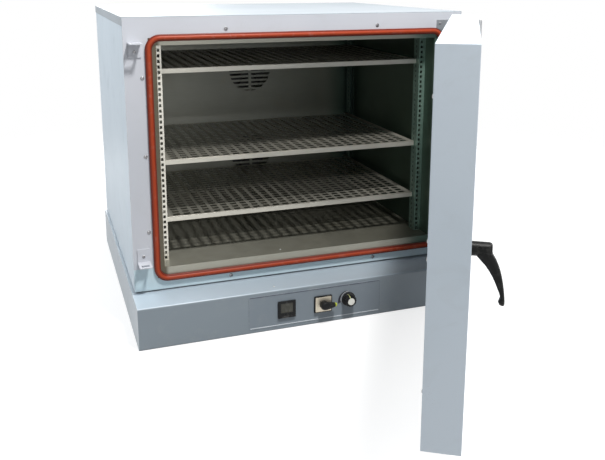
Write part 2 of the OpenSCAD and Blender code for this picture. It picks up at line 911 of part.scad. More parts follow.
// Latch keepers on the front frame

module keeper(tab_z, side) {
    x0 = latch_line - keeper_w / 2;
    x1 = latch_line + keeper_w / 2;
    z0 = side > 0 ? tab_z : tab_z + keeper_t - keeper_plate_h;
    difference() {
        union() {
            block([x0, -keeper_out, tab_z], [x1, 0, tab_z + keeper_t]);
            block([x0, -keeper_t, z0], [x1, 0, z0 + keeper_plate_h]);
        }
        block([latch_line - keeper_hole_w / 2, latch_y - keeper_hole_d / 2, tab_z - 1],
              [latch_line + keeper_hole_w / 2, latch_y + keeper_hole_d / 2,
               tab_z + keeper_t + 1]);
        keeper_screw_places() screw_hole_y(-keeper_t - 1, 1);
    }
}

module latch_keepers() {
    color("gainsboro") at_front() {
        keeper(keeper_top_z, -1);
        keeper(keeper_bottom_z, 1);
    }
}

module frame_screws() {
    color("silver") at_front() frame_screw_places() screw_y(screw_head_r);
}

module bracket_screws() {
    color("silver") at_front() {
        keeper_screw_places() translate([0, -keeper_t, 0]) screw_y(screw_head_r * 0.85);
        hinge_screw_places() translate([0, -hinge_t, 0]) screw_y(screw_head_r * 0.85);
    }
}

// The small screws in the plinth's ledge and in the chamber floor
module panel_screws() {
    color("silver") at_front() {
        ledge_screw_place() screw(screw_head_r * 0.6);
        floor_screw_place() screw(screw_head_r * 0.6);
    }
}

// Controls on the plinth's front

module control_panel() {
    z0 = control_z - panel_h / 2;
    color("slategray") at_front() difference() {
        block([-panel_w / 2, base_front - 1, z0], [panel_w / 2, base_front, z0 + panel_h]);
        block([display_x - display_w / 2 + 3, base_front - 2, control_z - display_h / 2 + 3],
              [display_x + display_w / 2 - 3, base_front + 1, control_z + display_h / 2 - 3]);
        rod_y(switch_x, control_z, base_front - 2, base_front + 1, 11);
        rod_y(knob_x, knob_z, base_front - 2, base_front + 1, 5.5);
    }
}

module controller_case() {
    w = display_w / 2 - 3.5;
    h = display_h / 2 - 3.5;
    color("black") at_front() translate([display_x, 0, control_z])
        block([-w, panel_face, -h], [w, base_front + 85, h]);
}

module controller_bezel() {
    lens_w = display_w / 2 - 8;
    color("black") at_front() translate([display_x, 0, control_z]) difference() {
        block([-display_w / 2, panel_face - display_proud, -display_h / 2],
              [display_w / 2, panel_face, display_h / 2]);
        block([-lens_w, panel_face - display_proud - 1, -display_h / 2 + 15],
              [lens_w, panel_face - 2, display_h / 2 - 6]);
        for (n = [-1.5:1.5])
            block([n * 10 - 3.5, panel_face - display_proud - 1, -display_h / 2 + 5],
                  [n * 10 + 3.5, panel_face - display_proud + 0.8, -display_h / 2 + 11]);
    }
}

module controller_lens() {
    lens_w = display_w / 2 - 8;
    color("darkslategray") at_front() translate([display_x, 0, control_z])
        block([-lens_w, panel_face - display_proud + 1, -display_h / 2 + 15],
              [lens_w, panel_face - 2, display_h / 2 - 6]);
}

module switch_body() {
    color("black") at_front() difference() {
        union() {
            rod_y(switch_x, control_z, panel_face, base_front + panel_t, 10.7);
            translate([switch_x, 0, control_z])
                block([-22, base_front + panel_t, -22], [22, base_front + 62, 22]);
        }
        rod_y(switch_x, control_z, panel_face - 1, base_front + 20, 3.5 + fit);
    }
}

module switch_plate() {
    color("black") at_front() difference() {
        translate([switch_x, 0, control_z])
            block([-switch_w / 2, switch_face, -switch_h / 2], [switch_w / 2, panel_face, switch_h / 2]);
        translate([switch_x, 0, control_z])
            block([-switch_w / 2 + 3, switch_face - 1, -switch_h / 2 + 3],
                  [switch_w / 2 - 3, switch_face + 1, switch_h / 2 - 3]);
        rod_y(switch_x, control_z, switch_face - 1, panel_face + 1, 9);
    }
}

module switch_handle() {
    r = switch_lever_w / 2;
    y0 = switch_face - switch_lever_d;
    y1 = switch_face + 1 - clear;
    color("black") at_front() {
        rod_y(switch_x, control_z, y0, y1, r + 6);
        rod_y(switch_x, control_z, y1 - eps, panel_face - 0.5, r + 1);
        rod_y(switch_x, control_z, y1, base_front + 18, 3.5);
        translate([switch_x, 0, control_z])
            block([0, y0, -r], [switch_lever - r - 6, y0 + switch_lever_d * 0.7, r]);
    }
}

module switch_pointer() {
    r = switch_lever_w / 2;
    y0 = switch_face - switch_lever_d;
    color("yellowgreen") at_front() translate([switch_x + switch_lever - r - 6, 0, control_z])
        block([0, y0, -r * 0.8], [5, y0 + switch_lever_d * 0.7, r * 0.8]);
}

module thermostat_body() {
    color("gray") at_front() {
        rod_y(knob_x, knob_z, base_front + panel_t, base_front + 40, 19);
        difference() {
            rod_y(knob_x, knob_z, panel_face - 1, base_front + panel_t + eps, 5.2);
            rod_y(knob_x, knob_z, panel_face - 2, base_front + panel_t + 1, 3 + fit);
        }
    }
}

// The printed scale round the knob, a ring that widens to one end
module knob_scale() {
    r = knob_r + 2;
    color("white") at_front() plate_y(panel_face - 0.4, panel_face) difference() {
        translate([knob_x, knob_z]) circle(r + 7.5);
        translate([knob_x, knob_z]) circle(r);
    }
}

module thermostat_knob() {
    y1 = panel_face - 1.4;
    y0 = y1 - knob_d;
    color("black") at_front() difference() {
        union() {
            rod_y(knob_x, knob_z, y0, y1, knob_r * 0.82);
            rod_y(knob_x, knob_z, y1 - 4, y1, knob_r);
            rod_y(knob_x, knob_z, y1 - eps, base_front + panel_t - 1, 3);
        }
        rod_y(knob_x, knob_z, y0 - 1, y0 + 1.5, knob_cap_r + fit);
        for (n = [0:15]) translate([knob_x, 0, knob_z]) rotate([0, n * 22.5, 0])
            rod_y(knob_r * 0.82 + 1, 0, y0 - 1, y1 - 5.5, 2);
    }
}

module knob_cap() {
    y0 = panel_face - 1.4 - knob_d;
    color("silver") at_front() rod_y(knob_x, knob_z, y0 - 0.5, y0 + 1.5, knob_cap_r);
}

// Electrical parts inside the plinth

module power_relay() {
    color("white") at_front() translate([body_w / 2 - 330, 200, -base_h + panel_t]) {
        block([0, 0, 0], [110, 80, 24]);
        for (n = [0:10]) block([n * 10.6, 0, 24 - eps], [n * 10.6 + 4, 80, 44]);
        block([30, 20, 44 - eps], [80, 62, 62]);
    }
}

module terminal_block() {
    color("ivory") at_front() translate([body_w / 2 - 200, body_d - 190, -base_h + panel_t]) difference() {
        block([0, 0, 0], [96, 42, 40]);
        for (n = [0:5]) translate([8 + n * 16, 21, 30]) cylinder(r = 4, h = 20);
    }
}

module cable_gland() {
    z = gland_z - base_h;
    r = gland_r;
    color("black") at_front() difference() {
        union() {
            rod_y(gland_x, z, body_d - panel_t - 8, body_d + eps, r);
            translate([gland_x, body_d + 6, z]) rotate([90, 0, 0])
                cylinder(r = r + 4, h = 6, $fn = 6);
            rod_y(gland_x, z, body_d + 6 - eps, body_d + 22, r + 2);
            translate([gland_x, body_d - panel_t, z]) rotate([90, 0, 0])
                cylinder(r = r + 4, h = 5, $fn = 6);
        }
        rod_y(gland_x, z, body_d - panel_t - 9, body_d + 23, gland_bore_r);
    }
}

// Door

// The slots that let the keepers' tabs into the door
module keeper_slots(y0, y1) {
    room = 2;
    for (z = [keeper_top_z, keeper_bottom_z])
        block([latch_line - keeper_w / 2 - room, y0, z - room],
              [latch_line + keeper_w / 2 + 2 * room, y1, z + keeper_t + room]);
}

module door_outer_shell() {
    x = door_w / 2;
    z0 = door_foot;
    z1 = door_foot + door_h;
    f = door_fold;
    color("lightsteelblue") door_pose() difference() {
        block([-x, door_out_y, z0], [x, door_in_y, z1]);
        block([-x + panel_t, door_out_y + panel_t, z0 + panel_t],
              [x - panel_t, door_in_y - panel_t, z1 - panel_t]);
        block([-x + f, door_in_y - panel_t - eps, z0 + f], [x - f, door_in_y + 1, z1 - f]);
        rod_y(latch_line, handle_z, door_out_y - 1, door_out_y + panel_t + 1, spindle_r + fit);
    }
}

module door_inner_panel() {
    x = door_w / 2 - door_fold;
    color("silver") door_pose() difference() {
        block([-x, door_in_y - panel_t, door_foot + door_fold],
              [x, door_in_y, door_foot + door_h - door_fold]);
        keeper_slots(door_in_y - panel_t - 1, door_in_y + 1);
        door_screw_places() screw_hole_y(-panel_t - 1, 1);
    }
}

module door_insulation() {
    x = door_w / 2 - panel_t;
    color("khaki") door_pose()
        block([-x + latch_channel, door_out_y + panel_t, door_foot + panel_t],
              [x, door_in_y - panel_t, door_foot + door_h - panel_t]);
}

// Places the screws in the door's inner face, beside the latch
module door_screw_places() {
    for (z = [handle_z + 12, handle_z - 22, keeper_top_z - 28, keeper_bottom_z + 28])
        translate([latch_line - 14, door_in_y, z]) children();
}

// The case that carries the spindle, and the rods' guides above and below it
module latch_case() {
    x0 = latch_line - case_w / 2;
    x1 = latch_line + case_w / 2;
    y0 = door_out_y + panel_t;
    y1 = door_in_y - panel_t;
    z0 = handle_z - case_h / 2;
    z1 = handle_z + case_h / 2;
    guides = [handle_z + 150, keeper_top_z - 70, handle_z - 150, keeper_bottom_z + 70];
    color("silver") door_pose() difference() {
        union() {
            block([x0, y0, z0], [x1, y1, z1]);
            for (z = guides) block([x0 + 8, latch_y - 12, z - 6], [x1 - 8, y1, z + 6]);
        }
        block([x0 + 3, y0 + 3, z0 + 3], [x1 - 3, y1 - 3, z1 - 3]);
        rod_y(latch_line, handle_z, y0 - 1, y1 + 1, spindle_r + fit);
        for (z = guides) translate([latch_line, latch_y, z - 7])
            cylinder(r = rod_r + fit, h = 14);
        translate([latch_line, latch_y, z0 - 1]) cylinder(r = rod_r + fit, h = case_h + 2);
        door_screw_places() screw_hole_y(-shank_len - 1, 1);
    }
}

// The spindle behind the handle, with the cam that drives the rods
module latch_spindle() {
    y1 = door_in_y - panel_t - 1;
    color("silver") door_pose() {
        rod_y(latch_line, handle_z, door_out_y - 0.5, y1, spindle_r);
        rod_y(latch_line, handle_z, latch_y - rod_r - 7, latch_y - rod_r - 2, case_w / 2 - 5);
    }
}

module door_screws() {
    color("silver") door_pose() door_screw_places() mirror([0, 1, 0]) screw_y(screw_head_r * 0.85);
}

// The lever's outline seen from the side: X out of the door, Y up
module lever_outline() {
    root_out = hub_len + 1;
    tip_out = hub_len + lever_out;
    outer = [for (t = [0:0.1:1]) bezier([root_out - 2, hub_r - 3], [tip_out + 1, -lever_len * 0.42],
                                        [tip_out + 1, -lever_len + 2], t)];
    inner = [for (t = [0:0.1:1]) bezier([tip_out - 7.5, -lever_len * 0.86],
                                        [tip_out - 12, -lever_len * 0.42], [hub_len * 0.3, -hub_r], t)];
    tip = [[tip_out - 2, -lever_len], [tip_out - 8, -lever_len + 2], [tip_out - 11.5, -lever_len + 7]];
    polygon(concat(outer, tip, inner, [[hub_len * 0.3, 0], [hub_len - 3, hub_r - 1]]));
}

module door_handle() {
    y1 = door_out_y - 0.5;
    color("black") door_pose() {
        rod_y(latch_line, handle_z, door_out_y - hub_len, y1, hub_r);
        translate([latch_line + lever_w / 2, door_out_y, handle_z]) rotate([90, 0, -90])
            linear_extrude(lever_w) lever_outline();
    }
}

// A latch rod between the case and a keeper
module latch_rod(z0, z1) {
    color("silver") door_pose() translate([latch_line, latch_y, z0]) cylinder(r = rod_r, h = z1 - z0);
}

module upper_latch_rod() {
    latch_rod(handle_z + case_h / 2 - 14, keeper_top_z - 5);
}

module lower_latch_rod() {
    latch_rod(keeper_bottom_z + keeper_t + 5, handle_z - case_h / 2 + 14);
}

base_plinth();
base_bottom_plate();
cabinet_bottom_panel();
left_side_panel();
right_side_panel();
rear_panel();
top_cover();
front_top_strip();
front_bottom_strip();
front_left_strip();
front_right_strip();
motor_bulkhead();
insulation_boards();
chamber_liner();
door_seal();
rear_baffle();
front_shelf_rails();
rear_shelf_rails();
shelf_runners();
top_shelf();
middle_shelf();
bottom_shelf();
upper_fan();
lower_fan();
upper_fan_motor();
lower_fan_motor();
heater_coils();
temperature_sensor();
upper_hinge_bracket();
lower_hinge_bracket();
hinge_pins();
latch_keepers();
frame_screws();
bracket_screws();
panel_screws();
control_panel();
controller_case();
controller_bezel();
controller_lens();
switch_body();
switch_plate();
switch_handle();
switch_pointer();
thermostat_body();
knob_scale();
thermostat_knob();
knob_cap();
power_relay();
terminal_block();
cable_gland();
door_outer_shell();
door_inner_panel();
door_insulation();
door_hinge_leaves();
latch_case();
latch_spindle();
door_handle();
upper_latch_rod();
lower_latch_rod();
door_screws();
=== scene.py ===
"""Visual model of a dry heat sterilizer with an open door.

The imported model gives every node's place. This script rounds the edges of the
sheet metal, builds the finer pieces over their solids, gives each surface its
finish, and sets the camera and the studio light. Lengths are in metres.
"""

from __future__ import annotations

import json
import logging
import math
from dataclasses import dataclass, field
from enum import Enum
from typing import Callable, Iterable, Mapping, Sequence, Union

import bmesh
import bpy
from mathutils import Euler, Matrix, Vector

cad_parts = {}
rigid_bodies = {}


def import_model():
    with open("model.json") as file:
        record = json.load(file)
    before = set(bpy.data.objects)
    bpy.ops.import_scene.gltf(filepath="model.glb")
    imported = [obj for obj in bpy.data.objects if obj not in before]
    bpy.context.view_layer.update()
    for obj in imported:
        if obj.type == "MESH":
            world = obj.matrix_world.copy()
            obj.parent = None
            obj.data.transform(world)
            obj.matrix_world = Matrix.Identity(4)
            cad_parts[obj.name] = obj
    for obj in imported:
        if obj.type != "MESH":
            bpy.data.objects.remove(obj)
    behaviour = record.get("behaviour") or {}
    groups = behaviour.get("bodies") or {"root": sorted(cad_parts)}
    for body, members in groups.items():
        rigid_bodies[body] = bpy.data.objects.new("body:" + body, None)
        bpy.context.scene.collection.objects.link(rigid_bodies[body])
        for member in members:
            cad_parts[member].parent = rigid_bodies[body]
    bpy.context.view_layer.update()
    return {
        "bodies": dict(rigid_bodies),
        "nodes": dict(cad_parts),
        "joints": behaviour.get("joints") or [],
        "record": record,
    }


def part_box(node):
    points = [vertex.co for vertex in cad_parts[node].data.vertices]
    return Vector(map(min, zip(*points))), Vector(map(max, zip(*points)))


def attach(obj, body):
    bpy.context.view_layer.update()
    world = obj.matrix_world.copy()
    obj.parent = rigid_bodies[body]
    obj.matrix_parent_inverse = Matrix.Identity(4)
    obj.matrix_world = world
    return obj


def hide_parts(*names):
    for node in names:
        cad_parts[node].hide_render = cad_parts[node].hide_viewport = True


LOG = logging.getLogger("sterilizer")
MM = 0.001
IMAGE_SIZE = (605, 460)

Rgb = tuple[float, float, float]
Rgba = tuple[float, float, float, float]
Point = tuple[float, float, float]
Span = tuple[float, float]
Outline = Sequence[tuple[float, float]]
Socket = bpy.types.NodeSocket
Value = Union[float, int, bool, tuple, Socket, bpy.types.ID]

FLOAT = "NodeSocketFloat"
COLOUR = "NodeSocketColor"
VECTOR = "NodeSocketVector"
WHOLE = "NodeSocketInt"
GEOMETRY = "NodeSocketGeometry"

#: Vertices nearer than this are one, in metres.
MERGE = 2e-6
#: Edges flatter than this are taken out, and edges flatter than SMOOTH look smooth.
FLAT = math.radians(0.4)
SMOOTH = math.radians(50)
#: No piece has more finishes than this.
MOST_SLOTS = 3


def rgba(colour: Rgb) -> Rgba:
    """Turns display values from 0 to 255 into a linear colour.

    Args:
        colour: Red, green and blue as they look on a display.

    Returns:
        The linear colour with full opacity.
    """
    linear = [((c / 255 + 0.055) / 1.055) ** 2.4 if c > 10 else c / 255 / 12.92 for c in colour]
    return (*linear, 1.0)


class Ray(Enum):
    """The kinds of ray that see the white background."""

    CAMERA = "Is Camera Ray"
    GLOSSY = "Is Glossy Ray"
    TRANSMISSION = "Is Transmission Ray"


# Node trees


@dataclass
class Graph:
    """Adds and links the nodes of one tree.

    Attributes:
        tree: The shader or geometry tree that receives the nodes.
    """

    tree: bpy.types.NodeTree

    def add(self, kind: str, inputs: Mapping[Union[str, int], Value] | None = None,
            **settings: object) -> bpy.types.Node:
        """Adds one node.

        Args:
            kind: The node's type name.
            inputs: Socket names or numbers, each with a value or a socket to link.
            **settings: Properties of the node itself.

        Returns:
            The new node.
        """
        node = self.tree.nodes.new(kind)
        for key, value in settings.items():
            setattr(node, key, value)
        for key, value in (inputs or {}).items():
            if isinstance(value, Socket):
                self.tree.links.new(value, node.inputs[key])
            else:
                node.inputs[key].default_value = value
        return node

    def math(self, operation: str, a: Value, b: Value = 0.0, clamp: bool = False) -> Socket:
        """Adds a math node and returns its result."""
        node = self.add("ShaderNodeMath", {0: a, 1: b}, operation=operation, use_clamp=clamp)
        return node.outputs[0]

    def ramp(self, value: Value, low: float, high: float, start: float = 0.0,
             end: float = 1.0) -> Socket:
        """Maps a value from one range to another, clamped and smooth.

        Args:
            value: The value.
            low: The value that gives the start.
            high: The value that gives the end.
            start: The least result.
            end: The greatest result.

        Returns:
            The result.
        """
        node = self.add("ShaderNodeMapRange", {
            "Value": value, "From Min": low, "From Max": high, "To Min": start, "To Max": end},
            interpolation_type="SMOOTHSTEP")
        return node.outputs[0]

    def blend(self, factor: Value, a: Value, b: Value) -> Socket:
        """Mixes two colours and returns the result."""
        return self.add("ShaderNodeMix", {0: factor, 6: a, 7: b}, data_type="RGBA").outputs[2]

    def multiply(self, colour: Value, by: Value) -> Socket:
        """Multiplies two colours and returns the result."""
        return self.add("ShaderNodeMix", {0: 1.0, 6: colour, 7: by}, data_type="RGBA",
                        blend_type="MULTIPLY").outputs[2]

    def point(self) -> Socket:
        """Returns the point in object coordinates."""
        return self.add("ShaderNodeTexCoord").outputs["Object"]

    def place(self) -> Mapping[str, Socket]:
        """Returns the X, Y and Z of the point in object coordinates."""
        return self.add("ShaderNodeSeparateXYZ", {0: self.point()}).outputs

    def rise(self) -> Socket:
        """Returns how far the surface looks up, from -1 to 1."""
        normal = self.add("ShaderNodeNewGeometry").outputs["Normal"]
        return self.add("ShaderNodeSeparateXYZ", {0: normal}).outputs["Z"]

    def upward(self) -> Socket:
        """Returns 1 on faces that look up and 0 on walls."""
        return self.ramp(self.rise(), 0.4, 0.8)

    def stretch(self, vector: Value, by: Value) -> Socket:
        """Multiplies a vector by another and returns the result."""
        return self.add("ShaderNodeVectorMath", {0: vector, 1: by}, operation="MULTIPLY").outputs[0]

    def length(self, vector: Value) -> Socket:
        """Returns the length of a vector."""
        return self.add("ShaderNodeVectorMath", {0: vector}, operation="LENGTH").outputs["Value"]

    def bump(self, height: Value, strength: Value, distance: float,
             normal: Socket | None = None) -> Socket:
        """Turns a height into relief.

        Args:
            height: The height over the surface.
            strength: How strongly it shows.
            distance: How deep it is, in metres.
            normal: The relief that it is added to.

        Returns:
            The normal of the relief.
        """
        inputs = {"Strength": strength, "Distance": distance, "Height": height}
        if normal is not None:
            inputs["Normal"] = normal
        return self.add("ShaderNodeBump", inputs).outputs[0]

    def noise(self, vector: Value, scale: float, detail: float = 3.0,
              distortion: float = 0.0) -> Socket:
        """Adds a noise texture.

        Args:
            vector: The point in space.
            scale: How fine the noise is.
            detail: How much finer noise lies in it.
            distortion: How much it swirls.

        Returns:
            The noise, from 0 to 1.
        """
        node = self.add("ShaderNodeTexNoise", {"Vector": vector, "Scale": scale, "Detail": detail,
                                               "Distortion": distortion})
        return node.outputs["Fac"]

    def close(self, leave: bpy.types.Node, results: Mapping[str, Socket]) -> bpy.types.NodeTree:
        """Links the results of a group to its output node.

        Args:
            leave: The output node.
            results: The output's names, each with its result.

        Returns:
            The group's tree.
        """
        for label, result in results.items():
            self.tree.links.new(result, leave.inputs[label])
        return self.tree


def emptied(owner: bpy.types.Material | bpy.types.World) -> Graph:
    """Gives a material or a world an empty tree.

    Args:
        owner: The material or the world.

    Returns:
        The graph of its tree.
    """
    owner.use_nodes = True
    owner.node_tree.nodes.clear()
    return Graph(owner.node_tree)


def open_group(name: str, kind: str, inputs: Sequence[tuple[str, str, Value]],
               outputs: Sequence[tuple[str, str]]) -> tuple[Graph, bpy.types.Node, bpy.types.Node]:
    """Makes a node group with its sockets.

    Args:
        name: The group's name.
        kind: ShaderNodeTree or GeometryNodeTree.
        inputs: Name, socket type and default of each input.
        outputs: Name and socket type of each output.

    Returns:
        The group's graph, its input node and its output node.
    """
    tree = bpy.data.node_groups.new(name, kind)
    for label, socket_type, default in inputs:
        socket = tree.interface.new_socket(label, in_out="INPUT", socket_type=socket_type)
        if default is not None:
            socket.default_value = default
    for label, socket_type in outputs:
        tree.interface.new_socket(label, in_out="OUTPUT", socket_type=socket_type)
    graph = Graph(tree)
    return graph, graph.add("NodeGroupInput"), graph.add("NodeGroupOutput")


class ShaderGroups:
    """The effects that several finishes share."""

    #: Linear colours of what lies on painted sheet.
    DUST: Rgba = (0.42, 0.43, 0.42, 1.0)
    SPECK: Rgba = (0.2, 0.21, 0.22, 1.0)
    WORN_PAINT: Rgba = (0.86, 0.87, 0.88, 1.0)
    #: Linear colours of heat stains on metal and of lint and wear on plastic.
    HEAT_STAIN: Rgba = (0.30, 0.26, 0.17, 1.0)
    LINT: Rgba = (0.45, 0.44, 0.42, 1.0)
    WORN_PLASTIC: Rgba = (0.6, 0.6, 0.6, 1.0)

    def __init__(self) -> None:
        """Builds every group once."""
        self.marks = self._marks()
        self.wear = self._wear()
        self.coat = self._coat()
        self.brush = self._brush()
        self.grain = self._grain()

    @staticmethod
    def _open(name: str, inputs: Sequence[tuple[str, str, Value]]
              ) -> tuple[Graph, bpy.types.Node, bpy.types.Node]:
        """Makes a group that puts out a colour, a roughness and a normal."""
        return open_group(name, "ShaderNodeTree", inputs,
                          [("Colour", COLOUR), ("Roughness", FLOAT), ("Normal", VECTOR)])

    @staticmethod
    def _marks() -> bpy.types.NodeTree:
        """Makes faint smears and fine specks, as masks from 0 to 1.

        Returns:
            The group's tree.
        """
        graph, entry, leave = open_group("Handling Marks", "ShaderNodeTree",
                                         [("Scale", FLOAT, 14.0)],
                                         [("Smear", FLOAT), ("Speck", FLOAT)])
        point = graph.point()
        smear = graph.add("ShaderNodeTexNoise", {
            "Vector": point, "Scale": entry.outputs["Scale"], "Detail": 6.0, "Roughness": 0.62,
            "Distortion": 0.7})
        speck = graph.add("ShaderNodeTexVoronoi", {"Vector": point, "Scale": 240.0})
        hits = graph.ramp(speck.outputs["Distance"], 0.16, 0.08)
        rare = graph.ramp(graph.noise(point, 31.0, 2.0), 0.60, 0.72)
        return graph.close(leave, {"Smear": graph.ramp(smear.outputs["Fac"], 0.50, 0.74),
                                   "Speck": graph.math("MULTIPLY", hits, rare)})

    @staticmethod
    def _wear() -> bpy.types.NodeTree:
        """Makes a mask that is bright along worn edges.

        Returns:
            The group's tree.
        """
        graph, entry, leave = open_group("Edge Wear", "ShaderNodeTree",
                                         [("Radius", FLOAT, 0.0012)], [("Mask", FLOAT)])
        soft = graph.add("ShaderNodeBevel", {"Radius": entry.outputs["Radius"]}, samples=4)
        flat = graph.add("ShaderNodeNewGeometry").outputs["Normal"]
        same = graph.add("ShaderNodeVectorMath", {0: soft.outputs[0], 1: flat},
                         operation="DOT_PRODUCT")
        edge = graph.ramp(same.outputs["Value"], 0.99, 0.86)
        patchy = graph.ramp(graph.noise(graph.point(), 55.0, 4.0), 0.38, 0.66)
        return graph.close(leave, {"Mask": graph.math("MULTIPLY", edge, patchy)})

    def _coat(self) -> bpy.types.NodeTree:
        """Makes baked powder coat: fine orange peel, slow tone changes, smears and worn edges.

        Returns:
            The group's tree.
        """
        graph, entry, leave = self._open("Powder Coat", [
            ("Colour", COLOUR, (0.6, 0.6, 0.6, 1.0)), ("Gloss", FLOAT, 0.4), ("Grime", FLOAT, 0.3)])
        colour, point = entry.outputs["Colour"], graph.point()
        marks = graph.add("ShaderNodeGroup", {}, node_tree=self.marks)
        wear = graph.add("ShaderNodeGroup", {}, node_tree=self.wear)
        broad = graph.ramp(graph.noise(point, 2.6, 2.0), 0.3, 0.7)
        toned = graph.blend(broad, graph.multiply(colour, (0.93, 0.945, 0.95, 1.0)), colour)
        smear = graph.math("MULTIPLY", marks.outputs["Smear"], entry.outputs["Grime"])
        dusty = graph.blend(graph.math("MULTIPLY", smear, 0.35), toned, self.DUST)
        specked = graph.blend(graph.math("MULTIPLY", marks.outputs["Speck"], 0.30), dusty,
                              self.SPECK)
        worn = graph.blend(graph.math("MULTIPLY", wear.outputs["Mask"], 0.35), specked,
                           self.WORN_PAINT)
        rough = graph.math("ADD", entry.outputs["Gloss"], graph.math("MULTIPLY", smear, 0.22))
        patchy = graph.math("MULTIPLY", graph.noise(point, 60.0, 3.0), 0.08)
        return graph.close(leave, {
            "Colour": worn, "Roughness": graph.math("ADD", rough, patchy),
            "Normal": graph.bump(graph.noise(point, 850.0, 2.0), 0.22, 0.00009)})

    def _brush(self) -> bpy.types.NodeTree:
        """Makes rolled or brushed metal: long fine lines, cloudy tone and a few stains.

        Returns:
            The group's tree.
        """
        graph, entry, leave = self._open("Brushed Metal", [
            ("Colour", COLOUR, (0.6, 0.6, 0.6, 1.0)), ("Grain", VECTOR, (40.0, 40.0, 2500.0)),
            ("Gloss", FLOAT, 0.3), ("Stain", FLOAT, 0.3)])
        colour, point = entry.outputs["Colour"], graph.point()
        grain = graph.noise(graph.stretch(point, entry.outputs["Grain"]), 1.0, 3.0)
        cloud = graph.ramp(graph.noise(point, 7.0, 4.0, 0.4), 0.35, 0.72)
        marks = graph.add("ShaderNodeGroup", {"Scale": 9.0}, node_tree=self.marks)
        toned = graph.blend(grain, graph.multiply(colour, (0.78, 0.77, 0.74, 1.0)), colour)
        stain = graph.math("MULTIPLY", graph.math("MULTIPLY", marks.outputs["Smear"], cloud),
                           entry.outputs["Stain"])
        rough = graph.math("ADD", entry.outputs["Gloss"], graph.math("MULTIPLY", grain, 0.14))
        return graph.close(leave, {
            "Colour": graph.blend(stain, toned, self.HEAT_STAIN),
            "Roughness": graph.math("ADD", rough, graph.math("MULTIPLY", cloud, 0.10)),
            "Normal": graph.bump(grain, 0.16, 0.00004)})

    def _grain(self) -> bpy.types.NodeTree:
        """Makes moulded plastic or rubber: a pebbled skin with dull and bright patches.

        Returns:
            The group's tree.
        """
        graph, entry, leave = self._open("Moulded Grain", [
            ("Colour", COLOUR, (0.1, 0.1, 0.1, 1.0)), ("Pebble", FLOAT, 1400.0),
            ("Depth", FLOAT, 0.3), ("Gloss", FLOAT, 0.4)])
        marks = graph.add("ShaderNodeGroup", {"Scale": 40.0}, node_tree=self.marks)
        wear = graph.add("ShaderNodeGroup", {"Radius": 0.0008}, node_tree=self.wear)
        pebble = graph.add("ShaderNodeTexVoronoi",
                           {"Vector": graph.point(), "Scale": entry.outputs["Pebble"]},
                           feature="SMOOTH_F1")
        smear = marks.outputs["Smear"]
        dusty = graph.blend(graph.math("MULTIPLY", smear, 0.12), entry.outputs["Colour"], self.LINT)
        worn = graph.blend(graph.math("MULTIPLY", wear.outputs["Mask"], 0.10), dusty,
                           self.WORN_PLASTIC)
        rough = graph.math("ADD", entry.outputs["Gloss"], graph.math("MULTIPLY", smear, 0.18))
        relief = graph.bump(pebble.outputs["Distance"], entry.outputs["Depth"], 0.0001)
        return graph.close(leave, {"Colour": worn, "Roughness": rough, "Normal": relief})


# Finishes


@dataclass(frozen=True)
class Finish:
    """What every finish has.

    Attributes:
        name: The material's name.
        colour: Display values from 0 to 255.
        gloss: The least roughness of the surface.
    """

    name: str
    colour: Rgb
    gloss: float

    group: str = field(default="coat", init=False)

    def inputs(self) -> dict[str, Value]:
        """The values of the shared group's inputs."""
        return {"Colour": rgba(self.colour), "Gloss": self.gloss}

    def shader(self) -> dict[str, Value]:
        """The values that are set on the shader's own sockets."""
        return {}

    def build(self, groups: ShaderGroups) -> bpy.types.Material:
        """Makes the material.

        Args:
            groups: The shared shader groups.

        Returns:
            The new material.
        """
        material = bpy.data.materials.new(self.name)
        material.diffuse_color = rgba(self.colour)
        graph = emptied(material)
        skin = graph.add("ShaderNodeGroup", {}, node_tree=getattr(groups, self.group))
        for label, value in self.inputs().items():
            skin.inputs[label].default_value = value
        shader = graph.add("ShaderNodeBsdfPrincipled", {
            "Base Color": self.tint(graph, skin.outputs["Colour"]),
            "Roughness": skin.outputs["Roughness"],
            "Normal": self.relief(graph, skin.outputs["Normal"])})
        for label, value in self.shader().items():
            shader.inputs[label].default_value = value
        graph.add("ShaderNodeOutputMaterial", {"Surface": shader.outputs[0]})
        return material

    def tint(self, graph: Graph, colour: Socket) -> Socket:
        """Adds what one finish alone does to the colour."""
        return colour

    def relief(self, graph: Graph, normal: Socket) -> Socket:
        """Adds what one finish alone does to the relief."""
        return normal


@dataclass(frozen=True)
class Paint(Finish):
    """Powder-coated sheet.

    Attributes:
        grime: How strongly smears show.
        mirror: The strength of the reflections, 0.5 for a common gloss paint.
    """

    grime: float = 0.3
    mirror: float = 0.4

    def inputs(self) -> dict[str, Value]:
        """The values of the powder coat's inputs."""
        return {**super().inputs(), "Grime": self.grime}

    def shader(self) -> dict[str, Value]:
        """A thin clear layer over the pigment."""
        return {"Specular IOR Level": self.mirror, "Coat Weight": 0.3 * self.mirror,
                "Coat Roughness": 0.2}


@dataclass(frozen=True)
class LedgePaint(Paint):
    """Paint whose level faces and left side are painted lighter, as painted light and painted
    reflection.

    Attributes:
        lit_colour: The display colour of the painted light on the level faces and the left side.
        fading: From where to where the painted light on the level faces grows weaker, along X.
        end: Where the sheet's left side starts and has its full painted light, along X.
    """

    lit_colour: Rgb = (178, 192, 203)
    fading: Span = (-0.5, 0.15)
    end: Span = (-0.5050, -0.5056)

    def tint(self, graph: Graph, colour: Socket) -> Socket:
        """Paints light on what looks up, most of all toward the left end, and on the left side.

        Args:
            graph: The material's tree.
            colour: The colour so far.

        Returns:
            The changed colour.
        """
        # Painted light and painted reflection on the level faces and the left side.
        x = graph.place()["X"]
        level = graph.math("MULTIPLY", graph.upward(), graph.ramp(x, *self.fading, 1.0, 0.55))
        side = graph.ramp(x, *self.end, 0.0, 0.6)
        return graph.blend(graph.math("MAXIMUM", level, side), colour, rgba(self.lit_colour))


